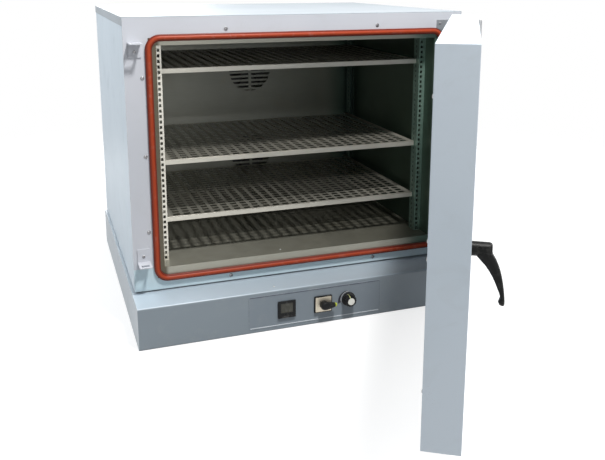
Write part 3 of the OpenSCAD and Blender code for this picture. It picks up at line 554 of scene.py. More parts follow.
@dataclass(frozen=True)
class Metal(Finish):
    """Bare metal with its grain.

    Attributes:
        grain: How fine the lines are along each axis; a low number runs along the grain.
        stain: How strongly heat stains show.
        sheen: How much of the surface mirrors; the rest scatters light.
    """

    grain: Point = (40.0, 40.0, 2500.0)
    stain: float = 0.2
    sheen: float = 1.0
    group: str = field(default="brush", init=False)

    def inputs(self) -> dict[str, Value]:
        """The values of the brushed metal's inputs."""
        return {**super().inputs(), "Grain": self.grain, "Stain": self.stain}

    def shader(self) -> dict[str, Value]:
        """How metallic the surface is."""
        return {"Metallic": self.sheen}


@dataclass(frozen=True)
class Spangled(Metal):
    """Zinc-plated steel, whose crystals show as pale and dark flakes."""

    #: The linear colour of a dark flake.
    FLAKE = (0.46, 0.47, 0.49, 1.0)

    def tint(self, graph: Graph, colour: Socket) -> Socket:
        """Gives each crystal its own tone.

        Args:
            graph: The material's tree.
            colour: The colour so far.

        Returns:
            The changed colour.
        """
        flake = graph.add("ShaderNodeTexVoronoi", {"Vector": graph.point(), "Scale": 190.0})
        tone = graph.add("ShaderNodeSeparateColor", {0: flake.outputs["Color"]})
        return graph.blend(graph.math("MULTIPLY", tone.outputs[0], 0.30), colour, self.FLAKE)


@dataclass(frozen=True)
class LinerSteel(Metal):
    """The chamber's steel, with painted shade on its walls, its right side, the rim's left and the
    floor's right end.

    Attributes:
        dull: The painted shade that the walls and the ceiling are multiplied by, as a display
            colour.
        right_shade: The painted shade that the right side is multiplied by.
        shade: The painted shade that the rim's left is multiplied by.
        floor_end_shade: The painted shade that the floor's right end is multiplied by.
        rim_y: Where the rim starts and where it is wholly reached, along Y.
        right_shade_x: Where the right side's painted shade starts and where it is full, along X.
        shade_x: Where the rim's painted shade starts and where it is full, along X.
        floor_x: Where the floor's painted shade starts and where it is full, along X.
    """

    dull: Rgb = (110, 111, 102)
    right_shade: Rgb = (152, 186, 181)
    shade: Rgb = (146, 137, 124)
    floor_end_shade: Rgb = (188, 188, 184)
    rim_y: Span = (-0.352, -0.358)
    right_shade_x: Span = (0.30, 0.395)
    shade_x: Span = (-0.400, -0.412)
    floor_x: Span = (-0.45, 0.35)

    def tint(self, graph: Graph, colour: Socket) -> Socket:
        """Paints shade on the walls, the right side and the rim's left, and on the floor's right
        end.

        Args:
            graph: The material's tree.
            colour: The colour so far.

        Returns:
            The changed colour.
        """
        place = graph.place()
        x, upward = place["X"], graph.upward()
        rim = graph.ramp(place["Y"], *self.rim_y)
        bright = graph.math("MAXIMUM", upward, rim)
        # Painted shade: the walls and the ceiling are darker than the floor and the rim. The right
        # side, the rim's left and the floor's right end are darker still.
        walls = graph.blend(bright, graph.multiply(colour, rgba(self.dull)), colour)
        right = graph.math("SUBTRACT", graph.ramp(x, *self.right_shade_x), upward, True)
        right_shaded = graph.blend(right, walls, graph.multiply(walls, rgba(self.right_shade)))
        left = graph.math("MULTIPLY", graph.ramp(x, *self.shade_x), rim)
        shaded = graph.blend(left, right_shaded, graph.multiply(right_shaded, rgba(self.shade)))
        across = graph.math("MULTIPLY", graph.ramp(x, *self.floor_x), upward)
        return graph.blend(across, shaded, graph.multiply(shaded, rgba(self.floor_end_shade)))


@dataclass(frozen=True)
class PunchedSteel(Metal):
    """Perforated sheet, whose hole walls are painted darker than its faces, as painted shade in the
    holes.

    Attributes:
        cut: The painted shade that the walls of the holes are multiplied by, as a display colour.
    """

    cut: Rgb = (96, 94, 88)

    def tint(self, graph: Graph, colour: Socket) -> Socket:
        """Paints shade on the walls of the holes."""
        # Painted shade on the walls of the holes.
        flat = graph.ramp(graph.math("ABSOLUTE", graph.rise()), 0.75, 0.97)
        return graph.blend(flat, graph.multiply(colour, rgba(self.cut)), colour)


@dataclass(frozen=True)
class Turned(Metal):
    """Metal turned on a lathe, with fine rings round an axis along Y.

    Attributes:
        centre: A point on the axis.
        turns: How fast the rings follow each other, in radians to the metre.
    """

    centre: Point = (0.0, 0.0, 0.0)
    turns: float = 9000.0

    def relief(self, graph: Graph, normal: Socket) -> Socket:
        """Adds the rings that the tool left.

        Args:
            graph: The material's tree.
            normal: The relief so far.

        Returns:
            The changed relief.
        """
        arm = graph.add("ShaderNodeVectorMath", {0: graph.point(), 1: self.centre},
                        operation="SUBTRACT").outputs[0]
        far = graph.length(graph.stretch(arm, (1.0, 0.0, 1.0)))
        rings = graph.math("SINE", graph.math("MULTIPLY", far, self.turns))
        return graph.bump(rings, 0.3, 0.00004, normal)


@dataclass(frozen=True)
class Moulding(Finish):
    """Plastic or rubber.

    Attributes:
        pebble: How fine the skin's grain is.
        depth: How deep the grain looks.
        coat: The weight of a clear gloss layer.
        mirror: The strength of the reflections, 0.5 for common plastic.
    """

    pebble: float = 1400.0
    depth: float = 0.3
    coat: float = 0.0
    mirror: float = 0.5
    group: str = field(default="grain", init=False)

    def inputs(self) -> dict[str, Value]:
        """The values of the moulded grain's inputs."""
        return {**super().inputs(), "Pebble": self.pebble, "Depth": self.depth}

    def shader(self) -> dict[str, Value]:
        """The gloss layer and the strength of the reflections."""
        return {"Coat Weight": self.coat, "Coat Roughness": 0.08, "Specular IOR Level": self.mirror}


@dataclass(frozen=True)
class SealRubber(Moulding):
    """Silicone whose base, near the frame, is painted darker than its crown, as painted shade.

    Attributes:
        crown: How far forward the crown stands, along Y.
        foot: Where the base ends, along Y.
        base: The display colour of the painted shade on the base.
        fading: The shares of the way to the foot between which the base's colour sets in.
    """

    crown: float = -0.3741
    foot: float = -0.3625
    base: Rgb = (112, 40, 27)
    fading: Span = (0.08, 0.36)

    def tint(self, graph: Graph, colour: Socket) -> Socket:
        """Paints shade on the base."""
        # Painted shade on the seal's base.
        start, end = (self.crown + share * (self.foot - self.crown) for share in self.fading)
        return graph.blend(graph.ramp(graph.place()["Y"], start, end), colour, rgba(self.base))


@dataclass(frozen=True)
class Wool(Moulding):
    """Pressed mineral wool, matted from short fibres."""

    #: The linear colour of a dark tuft.
    TUFT = (0.25, 0.21, 0.10, 1.0)

    def tint(self, graph: Graph, colour: Socket) -> Socket:
        """Adds darker and paler tufts."""
        tuft = graph.ramp(graph.noise(graph.point(), 120.0, 6.0, 1.5), 0.35, 0.65)
        return graph.blend(graph.math("MULTIPLY", tuft, 0.4), colour, self.TUFT)

    def relief(self, graph: Graph, normal: Socket) -> Socket:
        """Adds the matted fibres."""
        fibre = graph.noise(graph.stretch(graph.point(), (1.0, 1.0, 6.0)), 160.0, 8.0, 2.0)
        return graph.bump(fibre, 0.8, 0.002, normal)


class Surface(Enum):
    """Every finish of the object, with the record's material slot that it stands for."""

    CABINET = (Paint("cabinet paint", (198, 200, 207), 0.36, 0.30), "pale_paint")
    # The side paint is the cabinet paint made lighter and bluer, as painted light.
    SIDE = (Paint("side paint", (206, 223, 236), 0.34, 0.35, 0.35), "pale_paint")
    # The sill paint is the cabinet paint made bluer, as painted reflection of the plinth.
    SILL = (Paint("sill paint", (194, 212, 219), 0.34, 0.35), "pale_paint")
    # The cover paint is the white paint made darker, as painted shade against the strong light on
    # the top.
    COVER = (Paint("cover paint", (180, 188, 195), 0.40, 0.22, 0.12), "white_paint")
    PLINTH = (LedgePaint("plinth paint", (138, 148, 156), 0.30, 0.40), "plinth_paint")
    PANEL = (Paint("panel paint", (133, 143, 152), 0.28, 0.35), "panel_paint")
    # The door paint is the cabinet paint made lighter, as painted light on the door's less lit
    # faces.
    DOOR = (Paint("door paint", (218, 229, 239), 0.36, 0.28), "pale_paint")
    LINING = (Paint("door lining paint", (222, 225, 229), 0.38, 0.30), "white_paint")
    STAINLESS = (LinerSteel("stainless wall", (166, 165, 154), 0.30, (30.0, 30.0, 1800.0), 0.35,
                            0.55, (196, 198, 190)), "stainless")
    BAFFLE = (LinerSteel("stainless baffle", (138, 139, 131), 0.28, (30.0, 30.0, 1800.0), 0.45,
                         0.60, (255, 255, 255)), "stainless")
    PUNCHED = (PunchedSteel("punched steel", (178, 176, 166), 0.28, (30.0, 1800.0, 1800.0), 0.30,
                            0.70), "stainless")
    SHELF = (Metal("stainless shelf", (204, 201, 191), 0.26, (30.0, 1800.0, 1800.0), 0.25, 0.70),
             "stainless")
    RAIL = (LinerSteel("stainless rail", (224, 221, 212), 0.26, (1800.0, 1800.0, 30.0), 0.15, 0.55,
                       (255, 255, 255)), "stainless")
    SCREW = (Metal("screw head", (150, 150, 153), 0.18, (300.0, 300.0, 900.0), 0.10, 0.85),
             "zinc_steel")
    ZINC = (Spangled("zinc plating", (198, 200, 202), 0.26, (300.0, 300.0, 900.0), 0.10),
            "zinc_steel")
    HINGE = (Spangled("hinge plating", (168, 171, 175), 0.34, (200.0, 200.0, 1200.0), 0.15),
             "hinge_steel")
    SEAL = (SealRubber("silicone seal", (158, 60, 31), 0.38, 900.0, 0.10, 0.0, 0.22), "silicone")
    WOOL = (Wool("mineral wool", (182, 164, 108), 0.9, 500.0, 0.4, 0.0), "mineral_wool")
    BLACK = (Moulding("black plastic", (17, 18, 19), 0.44, 1500.0, 0.30, 0.0, 0.20),
             "black_plastic")
    GLOSS = (Moulding("glossy black plastic", (13, 14, 14), 0.42, 700.0, 0.10, 0.0, 0.15),
             "gloss_black")
    LENS = (Moulding("smoked lens", (56, 56, 47), 0.16, 500.0, 0.02, 0.0, 0.40), "gloss_black")
    TIP = (Moulding("lever tip", (196, 208, 40), 0.32, 1500.0, 0.15, 0.20), "lever_tip")
    POINTER = (Moulding("pointer ink", (210, 216, 148), 0.50, 1200.0, 0.10, 0.0), "print_ink")
    # Painted highlight and painted shadow: the light line along the foot of the control panel's
    # face and the dark line along its head.
    PAINTED_HIGHLIGHT_LINE = (Paint("panel painted highlight line", (226, 231, 236), 0.34, 0.10), "panel_paint")
    PAINTED_SHADOW_LINE = (Paint("panel painted shadow line", (82, 88, 104), 0.40, 0.10), "panel_paint")
    INK = (Moulding("white ink", (214, 217, 220), 0.50, 1200.0, 0.10, 0.0), "print_ink")
    DARK_INK = (Moulding("dark ink", (24, 26, 42), 0.50, 1200.0, 0.10, 0.0), "print_ink")
    PLATE = (Metal("switch plate foil", (208, 200, 184), 0.34, (1500.0, 1500.0, 30.0), 0.20),
             "black_plastic")
    CAP = (Turned("turned cap", (226, 226, 220), 0.26, (200.0, 200.0, 200.0), 0.05, 0.8,
                  (0.099, 0.0, 0.065)), "aluminium")
    FAN = (Metal("fan wheel", (88, 88, 88), 0.45, (600.0, 600.0, 60.0), 0.30), "aluminium")
    CASTING = (Moulding("cast case", (84, 87, 90), 0.55, 420.0, 0.70, 0.0), "cast_case")
    CERAMIC = (Moulding("terminal ceramic", (226, 220, 202), 0.45, 800.0, 0.15, 0.10),
               "terminal_ceramic")

    @property
    def finish(self) -> Finish:
        """The finish itself."""
        return self.value[0]

    @property
    def slot(self) -> str:
        """The record's material slot."""
        return self.value[1]


class Workshop:
    """Holds the frame and the materials, and makes the pieces."""

    def __init__(self, frame: Mapping[str, object]) -> None:
        """Reads the frame's main places.
        """
        self.nodes: Mapping[str, bpy.types.Object] = frame["nodes"]
        groups = ShaderGroups()
        self.materials = {surface: surface.finish.build(groups) for surface in Surface}
        self.front_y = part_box("front_left_strip")[0][1]
        self.deck_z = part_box("base_plinth")[1][2]
        hinge = next(j for j in frame["joints"] if j["name"] == "door_hinge")
        self.door_angle = -math.radians(hinge["range_deg"][0])
        self.pivot = Vector((hinge["pos_m"][0], hinge["pos_m"][1], 0.0))
        bodies = frame["record"]["behaviour"]["bodies"]
        self.body_of = {node: body for body, nodes in bodies.items() for node in nodes}

    @property
    def at_front(self) -> Matrix:
        """Moves millimetres from the foot of the front frame to the row's frame."""
        return Matrix.Translation((0.0, self.front_y, self.deck_z)) @ Matrix.Scale(MM, 4)

    @property
    def at_door(self) -> Matrix:
        """Moves millimetres on the shut door to where the door stands."""
        swing = Matrix.Rotation(self.door_angle, 4, "Z") @ Matrix.Translation(-self.pivot)
        return Matrix.Translation(self.pivot) @ swing @ self.at_front

    def paint_node(self, node: str, surface: Surface) -> None:
        """Gives a carried-over node its finish.

        Args:
            node: The node's name.
            surface: The finish that covers it.
        """
        mesh = self.nodes[node].data
        mesh.materials.clear()
        mesh.materials.append(self.materials[surface])

    def piece(self, name: str, mesh: bpy.types.Mesh, surfaces: Sequence[Surface],
              nodes: Sequence[str]) -> None:
        """Makes a piece of the object.

        Args:
            name: The piece's name.
            mesh: Its mesh, in the row's frame.
            surfaces: Its finishes, in the order of the mesh's material numbers.
            nodes: The nodes that it stands for.
        """
        thing = placed(name, mesh)
        while len(mesh.materials) > len(surfaces):
            mesh.materials.pop()
        for number, surface in enumerate(surfaces):
            if number == len(mesh.materials):
                mesh.materials.append(None)
            mesh.materials[number] = self.materials[surface]
        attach(thing, self.body_of[nodes[0]])
        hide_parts(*nodes)


# Mesh building


def placed(name: str, data: bpy.types.ID) -> bpy.types.Object:
    """Makes an object in the scene.

    Args:
        name: The object's name.
        data: Its mesh, lamp or camera.

    Returns:
        The new object.
    """
    thing = bpy.data.objects.new(name, data)
    bpy.context.scene.collection.objects.link(thing)
    return thing


def settled(thing: bpy.types.Object) -> bpy.types.Mesh:
    """Works an object's modifiers into a mesh.

    Args:
        thing: The object, which is removed.

    Returns:
        The finished mesh.
    """
    depsgraph = bpy.context.evaluated_depsgraph_get()
    depsgraph.update()
    mesh = bpy.data.meshes.new_from_object(thing.evaluated_get(depsgraph), depsgraph=depsgraph)
    bpy.data.objects.remove(thing)
    return mesh


def written(work: bmesh.types.BMesh, name: str) -> bpy.types.Mesh:
    """Turns faces under work into a mesh.

    Args:
        work: The faces, which are freed.
        name: The mesh's name.

    Returns:
        The new mesh.
    """
    mesh = bpy.data.meshes.new(name)
    work.to_mesh(mesh)
    work.free()
    return mesh


def weighted(mesh: bpy.types.Mesh) -> bpy.types.Mesh:
    """Makes the flat faces of a mesh look flat and its rounded edges smooth.

    Args:
        mesh: The mesh, which gets empty material slots so that its numbers stay.

    Returns:
        The mesh with its corner normals.
    """
    while len(mesh.materials) < MOST_SLOTS:
        mesh.materials.append(None)
    thing = placed("weighing", mesh)
    modifier = thing.modifiers.new("weigh", "WEIGHTED_NORMAL")
    modifier.keep_sharp = True
    modifier.weight = 60
    return settled(thing)


def sharpened(work: bmesh.types.BMesh, name: str) -> bpy.types.Mesh:
    """Keeps the sharp edges of faces under work and smooths the others.

    Args:
        work: The faces, which are freed.
        name: The mesh's name.

    Returns:
        The new mesh with its corner normals.
    """
    for edge in work.edges:
        edge.smooth = edge.calc_face_angle(0.0) < SMOOTH
    return weighted(written(work, name))


def joined(name: str, meshes: Iterable[bpy.types.Mesh]) -> bpy.types.Mesh:
    """Puts several meshes of one piece together, with their material numbers.

    Args:
        name: The new mesh's name.
        meshes: The meshes.

    Returns:
        The new mesh.
    """
    work = bmesh.new()
    for mesh in meshes:
        work.from_mesh(mesh)
    return written(work, name)


@dataclass(frozen=True)
class Softener:
    """Rounds the sharp edges of a copied solid.

    Attributes:
        width: The width of the rounding, in millimetres.
        segments: How many steps the rounding has.
        angle: The least angle of an edge that is rounded, in degrees.
    """

    width: float = 0.5
    segments: int = 2
    angle: float = 40.0

    def copy(self, source: bpy.types.Object) -> bpy.types.Mesh:
        """Copies a node's mesh and rounds it.

        Args:
            source: The node's object, which isn't changed.

        Returns:
            The rounded mesh.
        """
        work = bmesh.new()
        work.from_mesh(source.data)
        bmesh.ops.remove_doubles(work, verts=work.verts, dist=MERGE)
        bmesh.ops.dissolve_limit(work, angle_limit=FLAT, verts=work.verts, edges=work.edges)
        limit = math.radians(self.angle)
        sharp = [e for e in work.edges if len(e.link_faces) == 2 and e.calc_face_angle(0.0) > limit]
        if sharp and self.width > 0:
            bmesh.ops.bevel(work, geom=sharp, offset=self.width * MM, offset_type="OFFSET",
                            segments=self.segments, profile=0.5, affect="EDGES", clamp_overlap=True)
        for face in work.faces:
            face.smooth = True
        return sharpened(work, f"{source.name}_soft")


class Shape:
    """Collects the faces of one piece, drawn in millimetres."""

    def __init__(self, place: Matrix) -> None:
        """Starts an empty shape.

        Args:
            place: Moves what is drawn to the row's frame.
        """
        self.place = place
        self.work = bmesh.new()

    def _take(self, part: bmesh.types.BMesh, slot: int, turn: Matrix | None = None) -> None:
        """Adds a finished part to the shape.

        Args:
            part: The part, which is freed.
            slot: The material number.
            turn: An extra placing of the part.
        """
        for face in part.faces:
            face.material_index = slot
            face.smooth = True
        part.transform(self.place @ (turn or Matrix.Identity(4)))
        mesh = written(part, "part")
        self.work.from_mesh(mesh)
        bpy.data.meshes.remove(mesh)

    def box(self, low: Sequence[float], high: Sequence[float], soft: float = 0.5,
            segments: int = 2, slot: int = 0, turn: Matrix | None = None) -> None:
        """Adds a block with rounded edges.

        Args:
            low: Its lowest corner.
            high: Its highest corner.
            soft: The width of the rounding.
            segments: How many steps the rounding has.
            slot: The material number.
            turn: An extra placing of the block.
        """
        part = bmesh.new()
        bmesh.ops.create_cube(part, size=1.0)
        size = [far - near for near, far in zip(low, high)]
        middle = [(far + near) / 2 for near, far in zip(low, high)]
        part.transform(Matrix.Translation(middle) @ Matrix.Diagonal((*size, 1.0)))
        if soft > 0:
            bmesh.ops.bevel(part, geom=list(part.edges), offset=soft, segments=segments,
                            profile=0.5, affect="EDGES", clamp_overlap=True)
        self._take(part, slot, turn)

    def rings(self, sections: Sequence[Sequence[Vector]], slot: int = 0,
              turn: Matrix | None = None, capped: bool = True) -> None:
        """Adds a skin over closed rings of points, with flat ends.

        Args:
            sections: The rings, each with the same number of points.
            slot: The material number.
            turn: An extra placing of the skin.
            capped: Whether the ends are closed.
        """
        part = bmesh.new()
        loops = [[part.verts.new(p) for p in ring] for ring in sections]
        count = len(loops[0])
        for a, b in zip(loops, loops[1:]):
            for i in range(count):
                j = (i + 1) % count
                part.faces.new((a[i], a[j], b[j], b[i]))
        if capped:
            part.faces.new(list(reversed(loops[0])))
            part.faces.new(loops[-1])
        bmesh.ops.recalc_face_normals(part, faces=part.faces)
        self._take(part, slot, turn)

    def lathe(self, profile: Outline, steps: int = 48, slot: int = 0,
              turn: Matrix | None = None) -> None:
        """Turns a profile of radius and height round the Z axis.

        Args:
            profile: Radius and height of each step, from one end to the other.
            steps: How many facets the turning has.
            slot: The material number.
            turn: An extra placing of the turned part.
        """
        angles = [2 * math.pi * i / steps for i in range(steps)]
        self.rings([[Vector((radius * math.cos(a), radius * math.sin(a), height)) for a in angles]
                    for radius, height in profile], slot, turn)

    def plate(self, outline: Outline, thick: float, soft: float = 0.3, slot: int = 0,
              turn: Matrix | None = None) -> None:
        """Adds a flat plate from an outline, standing up from Z = 0.

        Args:
            outline: The outline's corners.
            thick: The plate's thickness.
            soft: The width of the rounding of its edges.
            slot: The material number.
            turn: An extra placing of the plate.
        """
        part = bmesh.new()
        foot = [part.verts.new((x, y, 0.0)) for x, y in outline]
        head = [part.verts.new((x, y, thick)) for x, y in outline]
        count = len(outline)
        part.faces.new(list(reversed(foot)))
        part.faces.new(head)
        for i in range(count):
            j = (i + 1) % count
            part.faces.new((foot[i], foot[j], head[j], head[i]))
        bmesh.ops.recalc_face_normals(part, faces=part.faces)
        if soft > 0:
            rim = [e for e in part.edges if abs(e.verts[0].co.z - e.verts[1].co.z) < MERGE]
            bmesh.ops.bevel(part, geom=rim, offset=soft, segments=2, profile=0.5, affect="EDGES",
                            clamp_overlap=True)
        self._take(part, slot, turn)

    def mesh(self, name: str) -> bpy.types.Mesh:
        """Returns the finished mesh, after which the shape is used up."""
        return sharpened(self.work, name)


def facing(x: float, y: float, z: float) -> Matrix:
    """Places what stands on Z = 0 on a face that looks along -Y."""
    return Matrix.Translation((x, y, z)) @ Matrix.Rotation(math.radians(90), 4, "X")


def bulge(value: float, power: float) -> float:
    """Raises the size of a value to a power and keeps its sign."""
    return math.copysign(abs(value) ** power, value)


def round_rect(width: float, height: float, radius: float, steps: int = 4) -> list[Span]:
    """Draws a rectangle with round corners, counter-clockwise.

    Args:
        width: Its full width.
        height: Its full height.
        radius: The radius of its corners.
        steps: How many facets a corner has.

    Returns:
        The outline's corners.
    """
    outline = []
    for number, (sx, sy) in enumerate(((1, 1), (-1, 1), (-1, -1), (1, -1))):
        for step in range(steps + 1):
            angle = math.radians(90 * number + 90 * step / steps)
            outline.append((sx * (width / 2 - radius) + radius * math.cos(angle),
                            sy * (height / 2 - radius) + radius * math.sin(angle)))
    return outline


# Geometry nodes


class GeometryGroups:
    """The rules that repeated and swept pieces follow."""

    def __init__(self) -> None:
        """Builds every group once."""
        self.grid = self._grid()
        self.spots = self._spots()
        self.circle = self._circle()
        self.sweep = self._sweep()

    @staticmethod
    def _open(name: str, inputs: Sequence[tuple[str, str, Value]]
              ) -> tuple[Graph, bpy.types.Node, bpy.types.Node]:
        """Makes a geometry group that takes and gives a mesh and sets one material."""
        sockets = [("Geometry", GEOMETRY, None), *inputs, ("Material", "NodeSocketMaterial", None)]
        return open_group(name, "GeometryNodeTree", sockets, [("Geometry", GEOMETRY)])

    @staticmethod
    def _close(graph: Graph, entry: bpy.types.Node, leave: bpy.types.Node, geometry: Socket,
               merge: bool = False) -> bpy.types.NodeTree:
        """Ends a group with real geometry that has its material.

        Args:
            graph: The group's graph.
            entry: Its input node.
            leave: Its output node.
            geometry: What the rule made.
            merge: Whether the copies grow together where they touch.

        Returns:
            The group's tree.
        """
        real = graph.add("GeometryNodeRealizeInstances", {"Geometry": geometry}).outputs[0]
        if merge:
            real = graph.add("GeometryNodeMergeByDistance",
                             {"Geometry": real, "Distance": 10 * MERGE}).outputs[0]
        done = graph.add("GeometryNodeSetMaterial",
                         {"Geometry": real, "Material": entry.outputs["Material"]})
        return graph.close(leave, {"Geometry": done.outputs[0]})

    def _grid(self) -> bpy.types.NodeTree:
        """Repeats a cell in rows and columns and joins the copies.

        Returns:
            The group's tree.
        """
        graph, entry, leave = self._open("Grid Repeat", [
            ("Columns", WHOLE, 2), ("Rows", WHOLE, 2),
            ("Column Step", VECTOR, (0.03, 0.0, 0.0)), ("Row Step", VECTOR, (0.0, 0.025, 0.0))])
        row, column = (
            graph.add("GeometryNodeMeshLine",
                      {"Count": entry.outputs[count], "Offset": entry.outputs[step]}, mode="OFFSET")
            for count, step in (("Columns", "Column Step"), ("Rows", "Row Step")))
        rows = graph.add("GeometryNodeInstanceOnPoints",
                         {"Points": column.outputs[0], "Instance": row.outputs[0]})
        spots = graph.add("GeometryNodeRealizeInstances", {"Geometry": rows.outputs[0]})
        cells = graph.add("GeometryNodeInstanceOnPoints",
                          {"Points": spots.outputs[0], "Instance": entry.outputs["Geometry"]})
        return self._close(graph, entry, leave, cells.outputs[0], True)

    def _spots(self) -> bpy.types.NodeTree:
        """Places a pattern object at every point of the mesh, turned by a seeded angle.

        Returns:
            The group's tree.
        """
        graph, entry, leave = self._open("Place On Points", [
            ("Pattern", "NodeSocketObject", None), ("Axis", VECTOR, (0.0, 1.0, 0.0)),
            ("Seed", WHOLE, 7)])
        pattern = graph.add("GeometryNodeObjectInfo", {"Object": entry.outputs["Pattern"]})
        turn = graph.add("FunctionNodeRandomValue",
                         {"Seed": entry.outputs["Seed"], 2: 0.0, 3: 3.14}, data_type="FLOAT")
        spin = graph.add("FunctionNodeAxisAngleToRotation",
                         {"Axis": entry.outputs["Axis"], "Angle": turn.outputs[1]})
        copies = graph.add("GeometryNodeInstanceOnPoints", {
            "Points": entry.outputs["Geometry"], "Instance": pattern.outputs["Geometry"],
            "Rotation": spin.outputs[0]})
        return self._close(graph, entry, leave, copies.outputs[0])

    def _circle(self) -> bpy.types.NodeTree:
        """Repeats the mesh round an axis through a centre.

        Returns:
            The group's tree.
        """
        graph, entry, leave = self._open("Turn Repeat", [
            ("Count", WHOLE, 10), ("Centre", VECTOR, (0.0, 0.0, 0.0)),
            ("Axis", VECTOR, (0.0, 1.0, 0.0))])
        centre, count = entry.outputs["Centre"], entry.outputs["Count"]
        back = graph.add("ShaderNodeVectorMath", {0: centre, "Scale": -1.0}, operation="SCALE")
        home = graph.add("GeometryNodeTransform",
                         {"Geometry": entry.outputs["Geometry"], "Translation": back.outputs[0]})
        points = graph.add("GeometryNodePoints", {"Count": count, "Position": centre})
        index = graph.add("GeometryNodeInputIndex").outputs[0]
        angle = graph.math("MULTIPLY", index, graph.math("DIVIDE", 2 * math.pi, count))
        spin = graph.add("FunctionNodeAxisAngleToRotation",
                         {"Axis": entry.outputs["Axis"], "Angle": angle})
        copies = graph.add("GeometryNodeInstanceOnPoints", {
            "Points": points.outputs[0], "Instance": home.outputs[0], "Rotation": spin.outputs[0]})
        return self._close(graph, entry, leave, copies.outputs[0])

    def _sweep(self) -> bpy.types.NodeTree:
        """Draws a rounded frame and sweeps a bead on its flat base along it.

        Returns:
            The group's tree.
        """
        graph, entry, leave = self._open("Rounded Frame", [
            ("Width", FLOAT, 0.87), ("Height", FLOAT, 0.67), ("Corner", FLOAT, 0.03),
            ("Section Width", FLOAT, 0.018), ("Section Depth", FLOAT, 0.012),
            ("Base Depth", FLOAT, 0.008), ("Bead Width", FLOAT, 0.012), ("Edge", FLOAT, 0.003),
            ("Place", VECTOR, (0.0, 0.0, 0.0))])
        path, profile = (
            graph.add("GeometryNodeFilletCurve", {
                "Curve": graph.add("GeometryNodeCurvePrimitiveQuadrilateral", {
                    "Width": entry.outputs[width], "Height": entry.outputs[height]}).outputs[0],
                "Radius": entry.outputs[radius], "Count": facets, "Limit Radius": True},
                mode="POLY")
            for width, height, radius, facets in (("Width", "Height", "Corner", 12),
                                                  ("Section Width", "Base Depth", "Edge", 5)))
        depth = entry.outputs["Section Depth"]
        spare = graph.math("SUBTRACT", depth, entry.outputs["Base Depth"])
        lower = graph.add("ShaderNodeCombineXYZ", {"Y": graph.math("MULTIPLY", spare, 0.5)})
        base = graph.add("GeometryNodeTransform",
                         {"Geometry": profile.outputs[0], "Translation": lower.outputs[0]})
        ring = graph.add("GeometryNodeCurvePrimitiveCircle", {"Resolution": 28, "Radius": 0.5})
        shape = graph.add("ShaderNodeCombineXYZ",
                          {"X": entry.outputs["Bead Width"], "Y": depth, "Z": 1.0})
        bead = graph.add("GeometryNodeTransform",
                         {"Geometry": ring.outputs[0], "Scale": shape.outputs[0]})
        both = graph.add("GeometryNodeJoinGeometry")
        for part in (base, bead):
            graph.tree.links.new(part.outputs[0], both.inputs[0])
        swept = graph.add("GeometryNodeCurveToMesh",
                          {"Curve": path.outputs[0], "Profile Curve": both.outputs[0]})
        smooth = graph.add("GeometryNodeSetShadeSmooth", {"Geometry": swept.outputs[0]})
        upright = graph.add("GeometryNodeTransform", {
            "Geometry": smooth.outputs[0], "Translation": entry.outputs["Place"],
            "Rotation": Euler((math.radians(90), 0.0, 0.0))})
        return self._close(graph, entry, leave, upright.outputs[0])


def grown(mesh: bpy.types.Mesh, group: bpy.types.NodeTree,
          inputs: Mapping[str, Value]) -> bpy.types.Mesh:
    """Runs a geometry group on a mesh.

    Args:
        mesh: The cell, pattern points or empty mesh that goes in.
        group: The geometry group.
        inputs: The named inputs of the group.

    Returns:
        The real mesh that comes out.
    """
    thing = placed("grown", mesh)
    modifier = thing.modifiers.new("rule", "NODES")
    modifier.node_group = group
    keys = {item.name: item.identifier for item in group.interface.items_tree
            if item.item_type == "SOCKET" and item.in_out == "INPUT"}
    for label, value in inputs.items():
        modifier[keys[label]] = value
    result = settled(thing)
    result.materials.clear()
    result.materials.append(inputs["Material"])
    return result


# Sub-assemblies


@dataclass
class SheetMetal:
    """The folded sheets whose solids only need their edges rounded.

    Attributes:
        shop: The workshop.
        edges: Each node with its finish and the width of its rounding, in millimetres.
    """

    shop: Workshop
    edges: Mapping[str, tuple[Surface, float]] = field(default_factory=lambda: {
        "base_plinth": (Surface.PLINTH, 0.6),
        "base_bottom_plate": (Surface.ZINC, 0.4),
        "cabinet_bottom_panel": (Surface.ZINC, 0.6),
        "left_side_panel": (Surface.SIDE, 0.6),
        "right_side_panel": (Surface.SIDE, 0.6),
        "rear_panel": (Surface.SIDE, 0.5),
        "top_cover": (Surface.COVER, 1.4),
        "front_top_strip": (Surface.CABINET, 0.7),
        "front_bottom_strip": (Surface.SILL, 0.7),
        "front_left_strip": (Surface.CABINET, 0.7),
        "front_right_strip": (Surface.CABINET, 0.7),
        "motor_bulkhead": (Surface.ZINC, 0.3),
        "chamber_liner": (Surface.STAINLESS, 0.6),
        "rear_baffle": (Surface.BAFFLE, 0.5),
        "front_shelf_rails": (Surface.RAIL, 0.3),
        "rear_shelf_rails": (Surface.BAFFLE, 0.3),
        "shelf_runners": (Surface.RAIL, 0.3),
        "latch_keepers": (Surface.CABINET, 0.6),
        "upper_hinge_bracket": (Surface.HINGE, 0.7),
        "lower_hinge_bracket": (Surface.HINGE, 0.7),
        "door_hinge_leaves": (Surface.HINGE, 0.7),
        "hinge_pins": (Surface.ZINC, 0.4),
        "door_outer_shell": (Surface.DOOR, 1.6),
        "door_inner_panel": (Surface.LINING, 0.8),
        "latch_case": (Surface.ZINC, 0.6),
        "cable_gland": (Surface.BLACK, 0.5),
        "power_relay": (Surface.BLACK, 0.5),
        "terminal_block": (Surface.CERAMIC, 0.8),
    })

    def build(self) -> None:
        """Makes a rounded piece for every sheet."""
        for node, (surface, width) in self.edges.items():
            mesh = Softener(width).copy(self.shop.nodes[node])
            self.shop.piece(f"{node}_sheet", mesh, [surface], [node])


